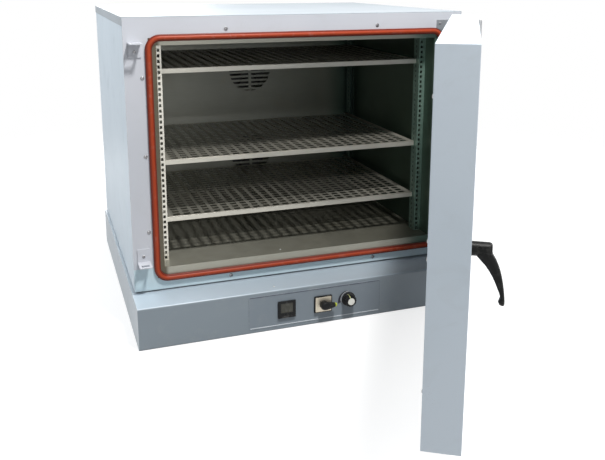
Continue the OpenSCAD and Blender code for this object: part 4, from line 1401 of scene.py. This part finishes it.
@dataclass
class CarriedOver:
    """The nodes whose solids are shown as they are.

    Attributes:
        shop: The workshop.
        finishes: Each node with its finish.
    """

    shop: Workshop
    finishes: Mapping[str, Surface] = field(default_factory=lambda: {
        "insulation_boards": Surface.WOOL,
        "door_insulation": Surface.WOOL,
        "heater_coils": Surface.STAINLESS,
        "temperature_sensor": Surface.STAINLESS,
        "upper_fan_motor": Surface.CASTING,
        "lower_fan_motor": Surface.CASTING,
        "upper_fan": Surface.FAN,
        "lower_fan": Surface.FAN,
        "controller_case": Surface.BLACK,
        "switch_body": Surface.BLACK,
        "thermostat_body": Surface.ZINC,
        "upper_latch_rod": Surface.ZINC,
        "lower_latch_rod": Surface.ZINC,
        "latch_spindle": Surface.ZINC,
    })

    def build(self) -> None:
        """Gives each node its finish."""
        for node, surface in self.finishes.items():
            self.shop.paint_node(node, surface)


@dataclass
class DoorSeal:
    """The silicone seal, swept round the opening.

    Attributes:
        shop: The workshop.
        rules: The geometry groups.
        width: The seal's width.
        corner: The radius of its centre line at the corners.
        edge: The rounding of its base.
        base: The depth of its base.
        bead: The width of the bead on the base.
    """

    shop: Workshop
    rules: GeometryGroups
    width: float = 18 * MM
    corner: float = 31 * MM
    edge: float = 3.0 * MM
    base: float = 8.0 * MM
    bead: float = 12.5 * MM

    def build(self) -> None:
        """Sweeps the seal inside the box of its solid."""
        low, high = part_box("door_seal")
        wide, depth, tall = (far - near for near, far in zip(low, high))
        mesh = grown(bpy.data.meshes.new("seal"), self.rules.sweep, {
            "Width": wide - self.width, "Height": tall - self.width, "Corner": self.corner,
            "Section Width": self.width, "Section Depth": depth, "Base Depth": self.base,
            "Bead Width": self.bead, "Edge": self.edge,
            "Place": tuple((near + far) / 2 for near, far in zip(low, high)),
            "Material": self.shop.materials[Surface.SEAL]})
        self.shop.piece("door_seal_bead", mesh, [Surface.SEAL], ["door_seal"])


@dataclass
class Shelves:
    """The perforated shelves, each grown from one cell.

    Attributes:
        shop: The workshop.
        rules: The geometry groups.
        hole: Width and depth of a hole.
        pitch: Sideways and rearward spacing of the holes.
        counts: Number of holes sideways and rearward.
        round: Radius of a hole's corners.
        border: Plain border at the front.
        thick: Thickness of the sheet.
        ease: How much the edge of a hole is broken.
        cut: How much the sheet's own edge is broken.
    """

    shop: Workshop
    rules: GeometryGroups
    hole: Span = (19.0, 16.0)
    pitch: Span = (30.0, 25.0)
    counts: tuple[int, int] = (25, 20)
    round: float = 2.5
    border: float = 10.0
    thick: float = 1.5
    ease: float = 0.25
    cut: float = 0.4

    def _cell(self) -> bpy.types.Mesh:
        """Draws one hole with the sheet round it, standing on Z = 0 at its own middle.

        Returns:
            The cell, whose copies meet at its four sides.
        """
        work = bmesh.new()
        inner = round_rect(*self.hole, self.round, 3)
        count = len(inner)
        levels = [[work.verts.new(((abs(x) + grow) * math.copysign(MM, x),
                                   (abs(y) + grow) * math.copysign(MM, y), z * MM))
                   for x, y in inner]
                  for z, grow in ((self.thick, self.ease), (self.thick - self.ease, 0.0),
                                  (self.ease, 0.0), (0.0, self.ease))]
        for a, b in zip(levels, levels[1:]):
            for i in range(count):
                j = (i + 1) % count
                work.faces.new((a[i], b[i], b[j], a[j]))
        x, y = self.pitch[0] / 2, self.pitch[1] / 2
        for ring, z in ((levels[0], self.thick), (levels[-1], 0.0)):
            outer = [work.verts.new(Vector(corner) * MM)
                     for corner in ((x, y, z), (-x, y, z), (-x, -y, z), (x, -y, z))]
            self._surround(work, ring, outer)
        bmesh.ops.recalc_face_normals(work, faces=work.faces)
        top = max(work.faces, key=lambda face: face.calc_center_median().z)
        if top.normal.z < 0:
            bmesh.ops.reverse_faces(work, faces=work.faces)
        return written(work, "cell")

    @staticmethod
    def _surround(work: bmesh.types.BMesh, ring: Sequence[bmesh.types.BMVert],
                  outer: Sequence[bmesh.types.BMVert]) -> None:
        """Fills the sheet between a hole and the four corners of its cell.

        Args:
            work: The faces under work.
            ring: The hole's edge, corner by corner.
            outer: The cell's corners, in the same order.
        """
        per = len(ring) // 4
        for corner in range(4):
            first = corner * per
            last = first + per - 1
            work.faces.new([outer[corner], *reversed(ring[first:last + 1])])
            work.faces.new([outer[corner], outer[(corner + 1) % 4], ring[(last + 1) % len(ring)],
                            ring[last]])

    def _rim(self, low: Sequence[float], high: Sequence[float]) -> bpy.types.Mesh:
        """Draws the plain border round the holes, with the front lip, as material 1.

        Args:
            low: The lowest corner of the shelf's solid, in metres.
            high: Its highest corner.

        Returns:
            The border's mesh.
        """
        shape = Shape(Matrix.Scale(MM, 4))
        x0, y0, z0 = (v / MM for v in low)
        x1, y1, z1 = (v / MM for v in high)
        middle = (x0 + x1) / 2
        reach = self.counts[0] * self.pitch[0] / 2
        front = y0 + self.border + self.hole[1] / 2 - self.pitch[1] / 2
        back = front + self.counts[1] * self.pitch[1]
        foot = z1 - self.thick

        def loop(left: float, right: float, near: float, far: float, z: float) -> list[Vector]:
            """Returns the corners of a level rectangle."""
            return [Vector((x, y, z)) for x, y in ((left, near), (right, near), (right, far),
                                                   (left, far))]

        def ring(inset: float, z: float) -> list[Vector]:
            """Returns the sheet's outline, drawn in by a distance."""
            return loop(x0 + inset, x1 - inset, y0 + inset, y1 - inset, z)

        def field_edge(z: float) -> list[Vector]:
            """Returns the outline of the field of holes."""
            return loop(middle - reach, middle + reach, front, back, z)

        shape.rings([field_edge(foot), ring(self.cut, foot), ring(0.0, foot + self.cut),
                     ring(0.0, z1 - self.cut), ring(self.cut, z1), field_edge(z1)], 1, capped=False)
        shape.box((x0, y0, z0), (x1, y0 + self.thick, z1), 0.6, 3, 1)
        return shape.mesh("rim")

    def build(self) -> None:
        """Grows each shelf in the box of its solid."""
        for node in ("top_shelf", "middle_shelf", "bottom_shelf"):
            low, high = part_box(node)
            cell = self._cell()
            across = (self.counts[0] - 1) * self.pitch[0] * MM
            cell.transform(Matrix.Translation((
                (low[0] + high[0]) / 2 - across / 2,
                low[1] + (self.border + self.hole[1] / 2) * MM, high[2] - self.thick * MM)))
            sheet = grown(cell, self.rules.grid, {
                "Columns": self.counts[0], "Rows": self.counts[1],
                "Column Step": (self.pitch[0] * MM, 0.0, 0.0),
                "Row Step": (0.0, self.pitch[1] * MM, 0.0),
                "Material": self.shop.materials[Surface.PUNCHED]})
            mesh = joined(node, [sheet, self._rim(low, high)])
            self.shop.piece(f"{node}_sheet", mesh, [Surface.PUNCHED, Surface.SHELF], [node])


@dataclass
class Fixings:
    """The domed screws, placed on points by rule.

    Attributes:
        shop: The workshop.
        rules: The geometry groups.
        radii: The radius of the head for each node of screws.
        rise: The height of a head.
        seat: How far below its top a head of the solid sits on the sheet.
    """

    shop: Workshop
    rules: GeometryGroups
    radii: Mapping[str, float] = field(default_factory=lambda: {
        "frame_screws": 5.4, "bracket_screws": 4.2, "panel_screws": 2.9})
    rise: float = 2.3
    seat: float = 2.4

    def _pattern(self, radius: float) -> bpy.types.Object:
        """Makes one domed screw head with a cross in it, standing on Z = 0.

        Args:
            radius: The head's radius.

        Returns:
            The head, as an object that is copied and then removed.
        """
        dome = Shape(Matrix.Scale(MM, 4))
        steps = 7
        profile = [(radius * 0.97, -1.0), (radius, 0.0), (radius, self.rise * 0.25)]
        for step in range(1, steps):
            angle = math.radians(90 * step / steps)
            profile.append((radius * math.cos(angle), self.rise * (0.25 + 0.75 * math.sin(angle))))
        dome.lathe(profile, 32)
        slots = Shape(Matrix.Scale(MM, 4))
        for turn in (0, 90):
            slots.box((-radius * 0.55, -0.45, self.rise * 0.45),
                      (radius * 0.55, 0.45, self.rise * 2), 0.0,
                      turn=Matrix.Rotation(math.radians(turn), 4, "Z"))
        head = placed("head", dome.mesh("head"))
        cutter = placed("cutter", slots.mesh("cutter"))
        modifier = head.modifiers.new("cut", "BOOLEAN")
        modifier.operation = "DIFFERENCE"
        modifier.object = cutter
        modifier.solver = "EXACT"
        modifier.use_self = True
        mesh = settled(head)
        bpy.data.objects.remove(cutter)
        return placed("screw_pattern", mesh)

    def build(self) -> None:
        """Places the screws of the front frame, the brackets and the small ones."""
        for node, radius in self.radii.items():
            screw = self._pattern(radius)
            self._place(node, screw)
            bpy.data.objects.remove(screw)

    def _place(self, node: str, screw: bpy.types.Object) -> None:
        """Puts a copy of a screw on every screw of a node.

        Args:
            node: The node's name.
            screw: The screw, standing on Z = 0.
        """
        upright = node == "panel_screws"
        turn = Matrix.Identity(3) if upright else Matrix.Rotation(math.radians(90), 3, "X")
        points = bpy.data.meshes.new(f"{node}_points")
        points.from_pydata([turn.inverted() @ p for p in self._seats(node, upright)], [], [])
        surface = Surface.ZINC if upright else Surface.SCREW
        mesh = grown(points, self.rules.spots, {
            "Pattern": screw, "Axis": (0.0, 0.0, 1.0), "Seed": 11,
            "Material": self.shop.materials[surface]})
        mesh.transform(turn.to_4x4())
        self.shop.piece(f"{node}_heads", weighted(mesh), [surface], [node])

    def _seats(self, node: str, upright: bool) -> list[Vector]:
        """Finds the middle of the seat of every screw head in a node.

        Args:
            node: The node's name.
            upright: Whether the heads look up, and not forward.

        Returns:
            The seats, in metres.
        """
        work = bmesh.new()
        work.from_mesh(self.shop.nodes[node].data)
        bmesh.ops.remove_doubles(work, verts=work.verts, dist=MERGE / 2)
        work.verts.ensure_lookup_table()
        seen: set[int] = set()
        seats = []
        for vert in work.verts:
            if vert.index in seen:
                continue
            group = self._reached(vert, seen)
            low, high = (Vector([pick(point[i] for point in group) for i in range(3)])
                         for pick in (min, max))
            middle = (low + high) / 2
            if upright:
                seats.append(Vector((middle.x, middle.y, high.z - self.seat * MM)))
            else:
                seats.append(Vector((middle.x, low.y + self.seat * MM, middle.z)))
        work.free()
        return seats

    @staticmethod
    def _reached(start: bmesh.types.BMVert, seen: set[int]) -> list[Vector]:
        """Collects the points that hang together with one point.

        Args:
            start: The first point.
            seen: The numbers of the points seen so far, which grows.

        Returns:
            The points' places.
        """
        stack, group = [start], []
        seen.add(start.index)
        while stack:
            vert = stack.pop()
            group.append(vert.co.copy())
            for edge in vert.link_edges:
                other = edge.other_vert(vert)
                if other.index not in seen:
                    seen.add(other.index)
                    stack.append(other)
        return group


@dataclass
class Controls:
    """The controller, the rotary switch and the thermostat on the plinth's front.

    Attributes:
        shop: The workshop.
        rules: The geometry groups.
        display: Sideways place of the controller.
        switch: Sideways place of the switch.
        knob: Sideways place of the knob.
        row_z: Height of the row, from the deck.
        face_y: Depth of the panel's face, from the front frame.
        aim: How far the knob's pointer is turned from upright, in degrees.
        flutes: Number of the knob's flutes.
    """

    shop: Workshop
    rules: GeometryGroups
    display: float = -90.0
    switch: float = 20.0
    knob: float = 99.0
    row_z: float = -60.0
    face_y: float = -106.0
    aim: float = 16.0
    flutes: int = 20

    #: The panel's edge: how far in, and how far forward.
    PANEL_EDGE = ((0.0, 0.0), (0.0, 0.9), (0.1, 1.0), (0.7, 1.0), (3.2, 0.15))
    #: Radius and height of the switch's hub, the knob and the knob's cap.
    HUB = ((11.5, 0.4), (12.3, 1.2), (12.3, 4.0), (11.4, 6.0), (10.6, 17.0), (9.6, 19.0),
           (7.0, 19.8), (0.1, 20.0))
    KNOB = ((19.6, 0.0), (20.9, 0.8), (21.0, 2.4), (20.2, 3.8), (18.0, 4.4), (17.0, 5.4),
            (16.0, 20.0), (15.2, 22.6), (13.6, 23.7), (10.8, 23.9), (10.6, 22.6), (0.1, 22.6))
    CAP = ((10.4, 22.7), (10.4, 23.8), (9.9, 24.3), (0.1, 24.4))
    #: Place along the lever, half width, foot and head of each section.
    LEVER = ((-11.0, 5.0, 8.0, 16.0), (-9.5, 8.6, 6.5, 18.5), (-4.0, 11.2, 6.2, 20.0),
             (4.0, 11.6, 6.2, 20.0), (12.0, 10.4, 6.2, 19.8), (20.0, 8.4, 6.2, 19.2),
             (26.0, 6.8, 6.3, 18.6), (30.5, 5.6, 6.5, 17.8))
    TIP = ((30.5, 5.6, 6.4, 17.9), (33.0, 5.1, 6.8, 17.4), (35.2, 4.2, 7.6, 16.2),
           (36.4, 2.6, 9.2, 14.2))
    #: Start and end angle, inner radius, first outer radius and how much that grows.
    SCALE_LINE = (88.0, 205.0, 22.0, 23.6, 0.0)
    SCALE_WEDGE = (95.0, 200.0, 23.9, 24.4, 8.4)

    def build(self) -> None:
        """Builds the panel and the three controls."""
        self._panel()
        self._controller()
        self._switch()
        self._thermostat()

    def _panel(self) -> None:
        """Builds the panel, whose face lies a little deeper than its rim, with a painted highlight
        line along the foot of the face and a painted shadow line along its head.
        """
        low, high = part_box("control_panel")
        wide, tall = (high[0] - low[0]) / MM, (high[2] - low[2]) / MM
        middle = self.shop.at_front.inverted() @ ((Vector(low) + Vector(high)) / 2)
        foot = facing(middle.x, self.face_y + 1.0, middle.z)
        shape = Shape(self.shop.at_front)
        shape.rings([[Vector((x, y, rise))
                      for x, y in round_rect(wide - 2 * inset, tall - 2 * inset, 3.4 - inset, 5)]
                     for inset, rise in self.PANEL_EDGE], 0, foot)
        half, face = wide / 2 - 4.0, self.face_y + 0.85
        # Thin strips: a painted highlight at the foot of the face and a painted shadow at its head.
        for slot, z in ((1, middle.z - tall / 2 + 1.2), (2, middle.z + tall / 2 - 3.6)):
            shape.box((middle.x - half, face - 0.5, z), (middle.x + half, face + 0.1, z + 2.4),
                      0.2, 1, slot)
        self.shop.piece("control_panel_face", shape.mesh("panel"),
                        [Surface.PANEL, Surface.PAINTED_HIGHLIGHT_LINE, Surface.PAINTED_SHADOW_LINE], ["control_panel"])

    def _controller(self) -> None:
        """Builds the bezel with its window and keys, and the lens."""
        bezel = Softener(0.9, 3).copy(self.shop.nodes["controller_bezel"])
        self.shop.piece("controller_bezel_frame", bezel, [Surface.BLACK], ["controller_bezel"])
        lens = Shape(self.shop.at_front)
        lens.plate(round_rect(35.8, 28.8, 1.2), 1.8, 0.3, 0,
                   facing(self.display, self.face_y - 2.0, self.row_z + 4.5))
        self.shop.piece("controller_lens_window", lens.mesh("lens"), [Surface.LENS],
                        ["controller_lens"])

    def _switch(self) -> None:
        """Builds the plate with its foil face, the hub, the lever and its tip."""
        plate = Shape(self.shop.at_front)
        foot = facing(self.switch, self.face_y, self.row_z)
        plate.plate(round_rect(54, 50, 3.0), 5.0, 0.8, 0, foot)
        plate.plate(round_rect(48, 44, 2.0), 5.6, 0.2, 1, foot)
        self.shop.piece("switch_plate_face", plate.mesh("plate"), [Surface.BLACK, Surface.PLATE],
                        ["switch_plate"])
        front = facing(self.switch, self.face_y - 6.0, self.row_z)
        lever = Shape(self.shop.at_front)
        lever.lathe(self.HUB, 40, 0, front)
        lever.rings([self._slab(*section) for section in self.LEVER], 0, front)
        self.shop.piece("switch_handle_grip", lever.mesh("lever"), [Surface.BLACK],
                        ["switch_handle"])
        tip = Shape(self.shop.at_front)
        tip.rings([self._slab(*section) for section in self.TIP], 0, front)
        self.shop.piece("switch_pointer_tip", tip.mesh("tip"), [Surface.TIP], ["switch_pointer"])

    @staticmethod
    def _slab(x: float, half: float, foot: float, head: float, steps: int = 20) -> list[Vector]:
        """Draws a rounded upright section of the lever.

        Args:
            x: Its place along the lever.
            half: Half its width.
            foot: Its lowest height.
            head: Its highest height.
            steps: Number of its points.

        Returns:
            The ring of points.
        """
        middle, rise = (foot + head) / 2, (head - foot) / 2
        return [Vector((x, half * bulge(math.cos(a), 0.55),
                        middle + rise * bulge(math.sin(a), 0.55)))
                for a in (2 * math.pi * step / steps for step in range(steps))]

    @staticmethod
    def _crescent(start: float, end: float, inner: float, outer: float, growth: float,
                  steps: int = 26) -> list[Span]:
        """Draws a printed arc, whose width may grow along it.

        Args:
            start: Its first angle, in degrees.
            end: Its last angle, in degrees.
            inner: Its inner radius.
            outer: Its outer radius at the start.
            growth: How much the outer radius grows toward the end.
            steps: Number of its facets.

        Returns:
            The outline's corners.
        """
        arc = [(math.radians(start + (end - start) * share), outer + growth * share)
               for share in (step / steps for step in range(steps + 1))]
        outline = [(r * math.cos(a), r * math.sin(a)) for a, r in arc]
        return outline + [(inner * math.cos(a), inner * math.sin(a)) for a, _ in reversed(arc)]

    def _thermostat(self) -> None:
        """Builds the printed scale, the fluted knob, its pointer and its cap."""
        z = self.row_z + 4.0
        foot = facing(self.knob, self.face_y, z)
        scale = Shape(self.shop.at_front)
        for slot, arc in enumerate((self.SCALE_LINE, self.SCALE_WEDGE)):
            scale.plate(self._crescent(*arc), 0.35, 0.0, slot, foot)
        self.shop.piece("knob_scale_print", scale.mesh("scale"), [Surface.INK, Surface.DARK_INK],
                        ["knob_scale"])
        front = facing(self.knob, self.face_y - 1.4, z)
        aim = front @ Matrix.Rotation(math.radians(self.aim), 4, "Z")
        body = Shape(self.shop.at_front)
        body.lathe(self.KNOB, 64, 0, front)
        body.box((-1.1, 11.0, 22.0), (1.1, 15.2, 24.1), 0.2, 1, 1, aim)
        body.box((-1.1, 15.4, 5.0), (1.1, 17.4, 23.0), 0.2, 1, 1, aim)
        flute = Shape(self.shop.at_front)
        flute.rings([[Vector((16.2 + 1.5 * math.cos(a), 1.35 * math.sin(a), height))
                      for a in (2 * math.pi * i / 10 for i in range(10))]
                     for height in (4.8, 5.6, 19.0, 20.4)], 0, front)
        flutes = grown(flute.mesh("flute"), self.rules.circle, {
            "Count": self.flutes, "Axis": (0.0, 1.0, 0.0),
            "Centre": tuple(self.shop.at_front @ Vector((self.knob, self.face_y, z))),
            "Material": self.shop.materials[Surface.BLACK]})
        knob = joined("thermostat_knob", [body.mesh("knob"), flutes])
        self.shop.piece("thermostat_knob_grip", knob, [Surface.BLACK, Surface.POINTER],
                        ["thermostat_knob"])
        cap = Shape(self.shop.at_front)
        cap.lathe(self.CAP, 48, 0, front)
        self.shop.piece("knob_cap_disc", cap.mesh("cap"), [Surface.CAP], ["knob_cap"])


@dataclass
class DoorHandle:
    """The moulded lever handle.

    Attributes:
        shop: The workshop.
        x: Sideways place of its axis on the shut door.
        z: Height of its axis above the deck.
        face: Depth of the door's outer face.
    """

    shop: Workshop
    x: float = -470.0
    z: float = 396.0
    face: float = -87.0

    #: Radius and height of the hub.
    HUB = ((13.2, 0.4), (13.0, 1.6), (12.9, 8.0), (12.9, 30.5), (12.4, 33.2), (11.0, 35.2),
           (8.6, 36.2), (0.1, 36.4))
    #: Outer edge, inner edge (both out of the door), drop below the axis, half width.
    STATIONS = (
        (34.0, 4.0, 8.0, 12.2), (36.2, 4.5, -2.0, 12.6), (38.0, 6.0, -9.0, 12.2),
        (41.4, 10.5, -14.0, 11.7), (44.6, 16.0, -20.0, 11.0), (48.6, 24.5, -29.0, 10.3),
        (52.2, 32.0, -39.5, 9.7), (55.0, 38.2, -50.0, 9.3), (57.2, 43.2, -60.5, 9.0),
        (59.0, 47.6, -71.0, 8.7), (60.3, 51.4, -80.0, 8.5), (61.0, 53.2, -86.5, 8.4),
        (61.6, 51.6, -91.5, 8.5), (61.8, 50.2, -96.0, 8.3), (61.6, 51.8, -99.6, 7.4),
        (60.8, 54.4, -101.8, 5.2), (59.4, 56.8, -102.8, 2.0),
    )

    def _section(self, outer: float, inner: float, drop: float, half: float,
                 steps: int = 28) -> list[Vector]:
        """Draws one level section of the lever.

        Args:
            outer: Its outer edge, out of the door.
            inner: Its inner edge.
            drop: Its height from the axis.
            half: Half its width.
            steps: Number of its points.

        Returns:
            The ring of points.
        """
        middle, reach = (outer + inner) / 2, (outer - inner) / 2
        return [Vector((self.x + half * bulge(math.sin(a), 0.75),
                        self.face - middle - reach * bulge(math.cos(a), 0.8), self.z + drop))
                for a in (2 * math.pi * step / steps for step in range(steps))]

    def build(self) -> None:
        """Builds the hub and the lever as one moulding."""
        shape = Shape(self.shop.at_door)
        shape.lathe(self.HUB, 56, 0, facing(self.x, self.face, self.z))
        shape.rings([self._section(*station) for station in self.STATIONS])
        self.shop.piece("door_handle_lever", shape.mesh("handle"), [Surface.GLOSS], ["door_handle"])


@dataclass
class DoorScrews:
    """The screws in the door's inner face.

    Attributes:
        shop: The workshop.
        soft: The width of their rounding, in millimetres.
    """

    shop: Workshop
    soft: float = 0.25

    def build(self) -> None:
        """Gives the screws a rounded copy."""
        mesh = Softener(self.soft).copy(self.shop.nodes["door_screws"])
        self.shop.piece("door_screws_heads", mesh, [Surface.ZINC], ["door_screws"])


# Studio


@dataclass(frozen=True)
class Lamp:
    """A soft rectangular lamp.

    Attributes:
        name: The lamp's name.
        place: Where it hangs.
        aim: The point that it faces.
        size: Its width and height.
        power: Its power in watts.
        colour: Its linear colour.
    """

    name: str
    place: Point
    aim: Point
    size: Span
    power: float
    colour: Rgb = (1.0, 1.0, 1.0)

    def build(self) -> None:
        """Hangs the lamp."""
        data = bpy.data.lights.new(self.name, "AREA")
        data.shape = "RECTANGLE"
        data.size, data.size_y = self.size
        data.energy = self.power
        data.color = self.colour
        lamp = placed(self.name, data)
        lamp.location = self.place
        lamp.rotation_mode = "QUATERNION"
        lamp.rotation_quaternion = (Vector(self.aim) - Vector(self.place)).to_track_quat("-Z", "Y")


def backdrop_mask(graph: Graph) -> Socket:
    """Finds the rays that see the white backdrop.

    Args:
        graph: The tree that receives the nodes.

    Returns:
        A socket that is 1 for those rays and 0 for the others.
    """
    path = graph.add("ShaderNodeLightPath")
    seen = path.outputs[Ray.CAMERA.value]
    for ray in (Ray.GLOSSY, Ray.TRANSMISSION):
        seen = graph.math("MAXIMUM", seen, path.outputs[ray.value])
    return seen


@dataclass
class Studio:
    """The camera, the floor, the white surround and the lamps.

    Attributes:
        eye: The camera's place.
        yaw: How far it looks to the right, in radians.
        pitch: How far it looks down, in radians.
        focal: Its focal length in pixels of the photograph.
        horizon: The height of the optical axis in the photograph, in pixels.
        reach: The floor's radius.
        fading: The distances between which the floor fades out.
        lifting: The distances between which the floor's white grows to its full strength.
        daylight: The strength of the world's light.
    """

    eye: Point = (-0.7114, -2.3753, 0.9837)
    yaw: float = 0.3375
    pitch: float = 0.2112
    focal: float = 758.0
    horizon: float = 139.25
    reach: float = 7.0
    fading: Span = (1.6, 2.8)
    lifting: Span = (0.7, 1.9)
    daylight: float = 0.23

    #: Linear colours of the floor, as the backdrop's rays see it and as the object's light does.
    FLOOR_PALE: Rgba = (0.42, 0.42, 0.42, 1.0)
    FLOOR_SHADE: Rgba = (0.36, 0.36, 0.36, 1.0)
    FLOOR_BOUNCE: Rgba = (0.26, 0.265, 0.27, 1.0)
    #: Linear colours of the world's light and of the backdrop.
    SKY: Rgba = (0.94, 0.97, 1.0, 1.0)
    WHITE: Rgba = (1.0, 1.0, 1.0, 1.0)

    def camera(self) -> None:
        """Makes the camera that sees the photograph's view."""
        width, height = IMAGE_SIZE
        data = bpy.data.cameras.new("camera")
        data.sensor_width = 36.0
        data.lens = self.focal * data.sensor_width / width
        data.shift_y = (self.horizon - height / 2) / width
        data.clip_start, data.clip_end = 0.05, 60.0
        camera = placed("camera", data)
        camera.location = self.eye
        camera.rotation_euler = (math.pi / 2 - self.pitch, 0.0, -self.yaw)
        bpy.context.scene.camera = camera

    def floor(self) -> None:
        """Lays the floor, which keeps the object's shadow and fades out into the white."""
        work = bmesh.new()
        bmesh.ops.create_circle(work, cap_ends=True, segments=96, radius=self.reach)
        mesh = written(work, "floor")
        material = bpy.data.materials.new("studio floor")
        graph = emptied(material)
        point, mask = graph.point(), backdrop_mask(graph)
        far = graph.length(point)
        tone = graph.ramp(graph.noise(point, 3.0, 2.0), 0.2, 0.8, 0.0, 0.02)
        pale = graph.blend(tone, self.FLOOR_PALE, self.FLOOR_SHADE)
        colour = graph.blend(mask, self.FLOOR_BOUNCE, pale)
        matt = graph.add("ShaderNodeBsdfDiffuse", {"Color": colour})
        lift = graph.math("MULTIPLY", mask, graph.ramp(far, *self.lifting, 0.72, 1.0))
        glow = graph.add("ShaderNodeEmission", {"Color": self.WHITE, "Strength": lift})
        both = graph.add("ShaderNodeAddShader", {0: matt.outputs[0], 1: glow.outputs[0]})
        clear = graph.add("ShaderNodeBsdfTransparent")
        mix = graph.add("ShaderNodeMixShader", {
            0: graph.ramp(far, *self.fading), 1: both.outputs[0], 2: clear.outputs[0]})
        graph.add("ShaderNodeOutputMaterial", {"Surface": mix.outputs[0]})
        mesh.materials.append(material)
        placed("floor", mesh)

    def world(self) -> None:
        """Makes the world, which lights the object softly and looks white behind it."""
        world = bpy.data.worlds.new("studio")
        bpy.context.scene.world = world
        graph = emptied(world)
        soft = graph.add("ShaderNodeBackground", {"Color": self.SKY, "Strength": self.daylight})
        white = graph.add("ShaderNodeBackground", {"Color": self.WHITE, "Strength": 1.0})
        mix = graph.add("ShaderNodeMixShader", {
            0: backdrop_mask(graph), 1: soft.outputs[0], 2: white.outputs[0]})
        graph.add("ShaderNodeOutputWorld", {"Surface": mix.outputs[0]})

    def lamps(self) -> None:
        """Hangs the key lamp and one fill lamp on each side."""
        for lamp in (
            Lamp("key", (0.16, -1.75, 3.0), (0.0, -0.3, 0.4), (0.3, 0.3), 92.0, (1.0, 0.99, 0.97)),
            Lamp("left", (-1.8, 0.2, 2.2), (-0.5, 0.0, 0.5), (0.8, 1.0), 24.0, (0.93, 0.97, 1.0)),
            Lamp("right", (3.2, 0.4, 1.6), (0.5, 0.0, 0.5), (1.6, 1.6), 48.0),
            Lamp("back", (-0.4, 3.4, 1.8), (0.0, 0.49, 0.5), (1.8, 1.4), 46.0),
            Lamp("front", (0.3, -4.4, 1.3), (0.0, -0.3, 0.5), (2.4, 1.6), 25.0),
        ):
            lamp.build()

    def build(self) -> None:
        """Sets the floor, the world, the lamps and the plain display transform."""
        self.floor()
        self.world()
        self.lamps()
        bpy.context.scene.view_settings.view_transform = "Standard"


def main() -> None:
    """Builds the whole scene."""
    logging.basicConfig(level=logging.INFO, format="%(message)s")
    studio = Studio()
    studio.camera()
    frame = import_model()
    shop = Workshop(frame)
    rules = GeometryGroups()
    steps: Sequence[tuple[str, Callable[[], None]]] = (
        ("sheet metal", SheetMetal(shop).build),
        ("carried-over nodes", CarriedOver(shop).build),
        ("door seal", DoorSeal(shop, rules).build),
        ("shelves", Shelves(shop, rules).build),
        ("fixings", Fixings(shop, rules).build),
        ("controls", Controls(shop, rules).build),
        ("door handle", DoorHandle(shop).build),
        ("door screws", DoorScrews(shop).build),
        ("studio", studio.build),
    )
    for label, step in steps:
        step()
        LOG.info("built the %s", label)


if __name__ == "__main__":
    main()
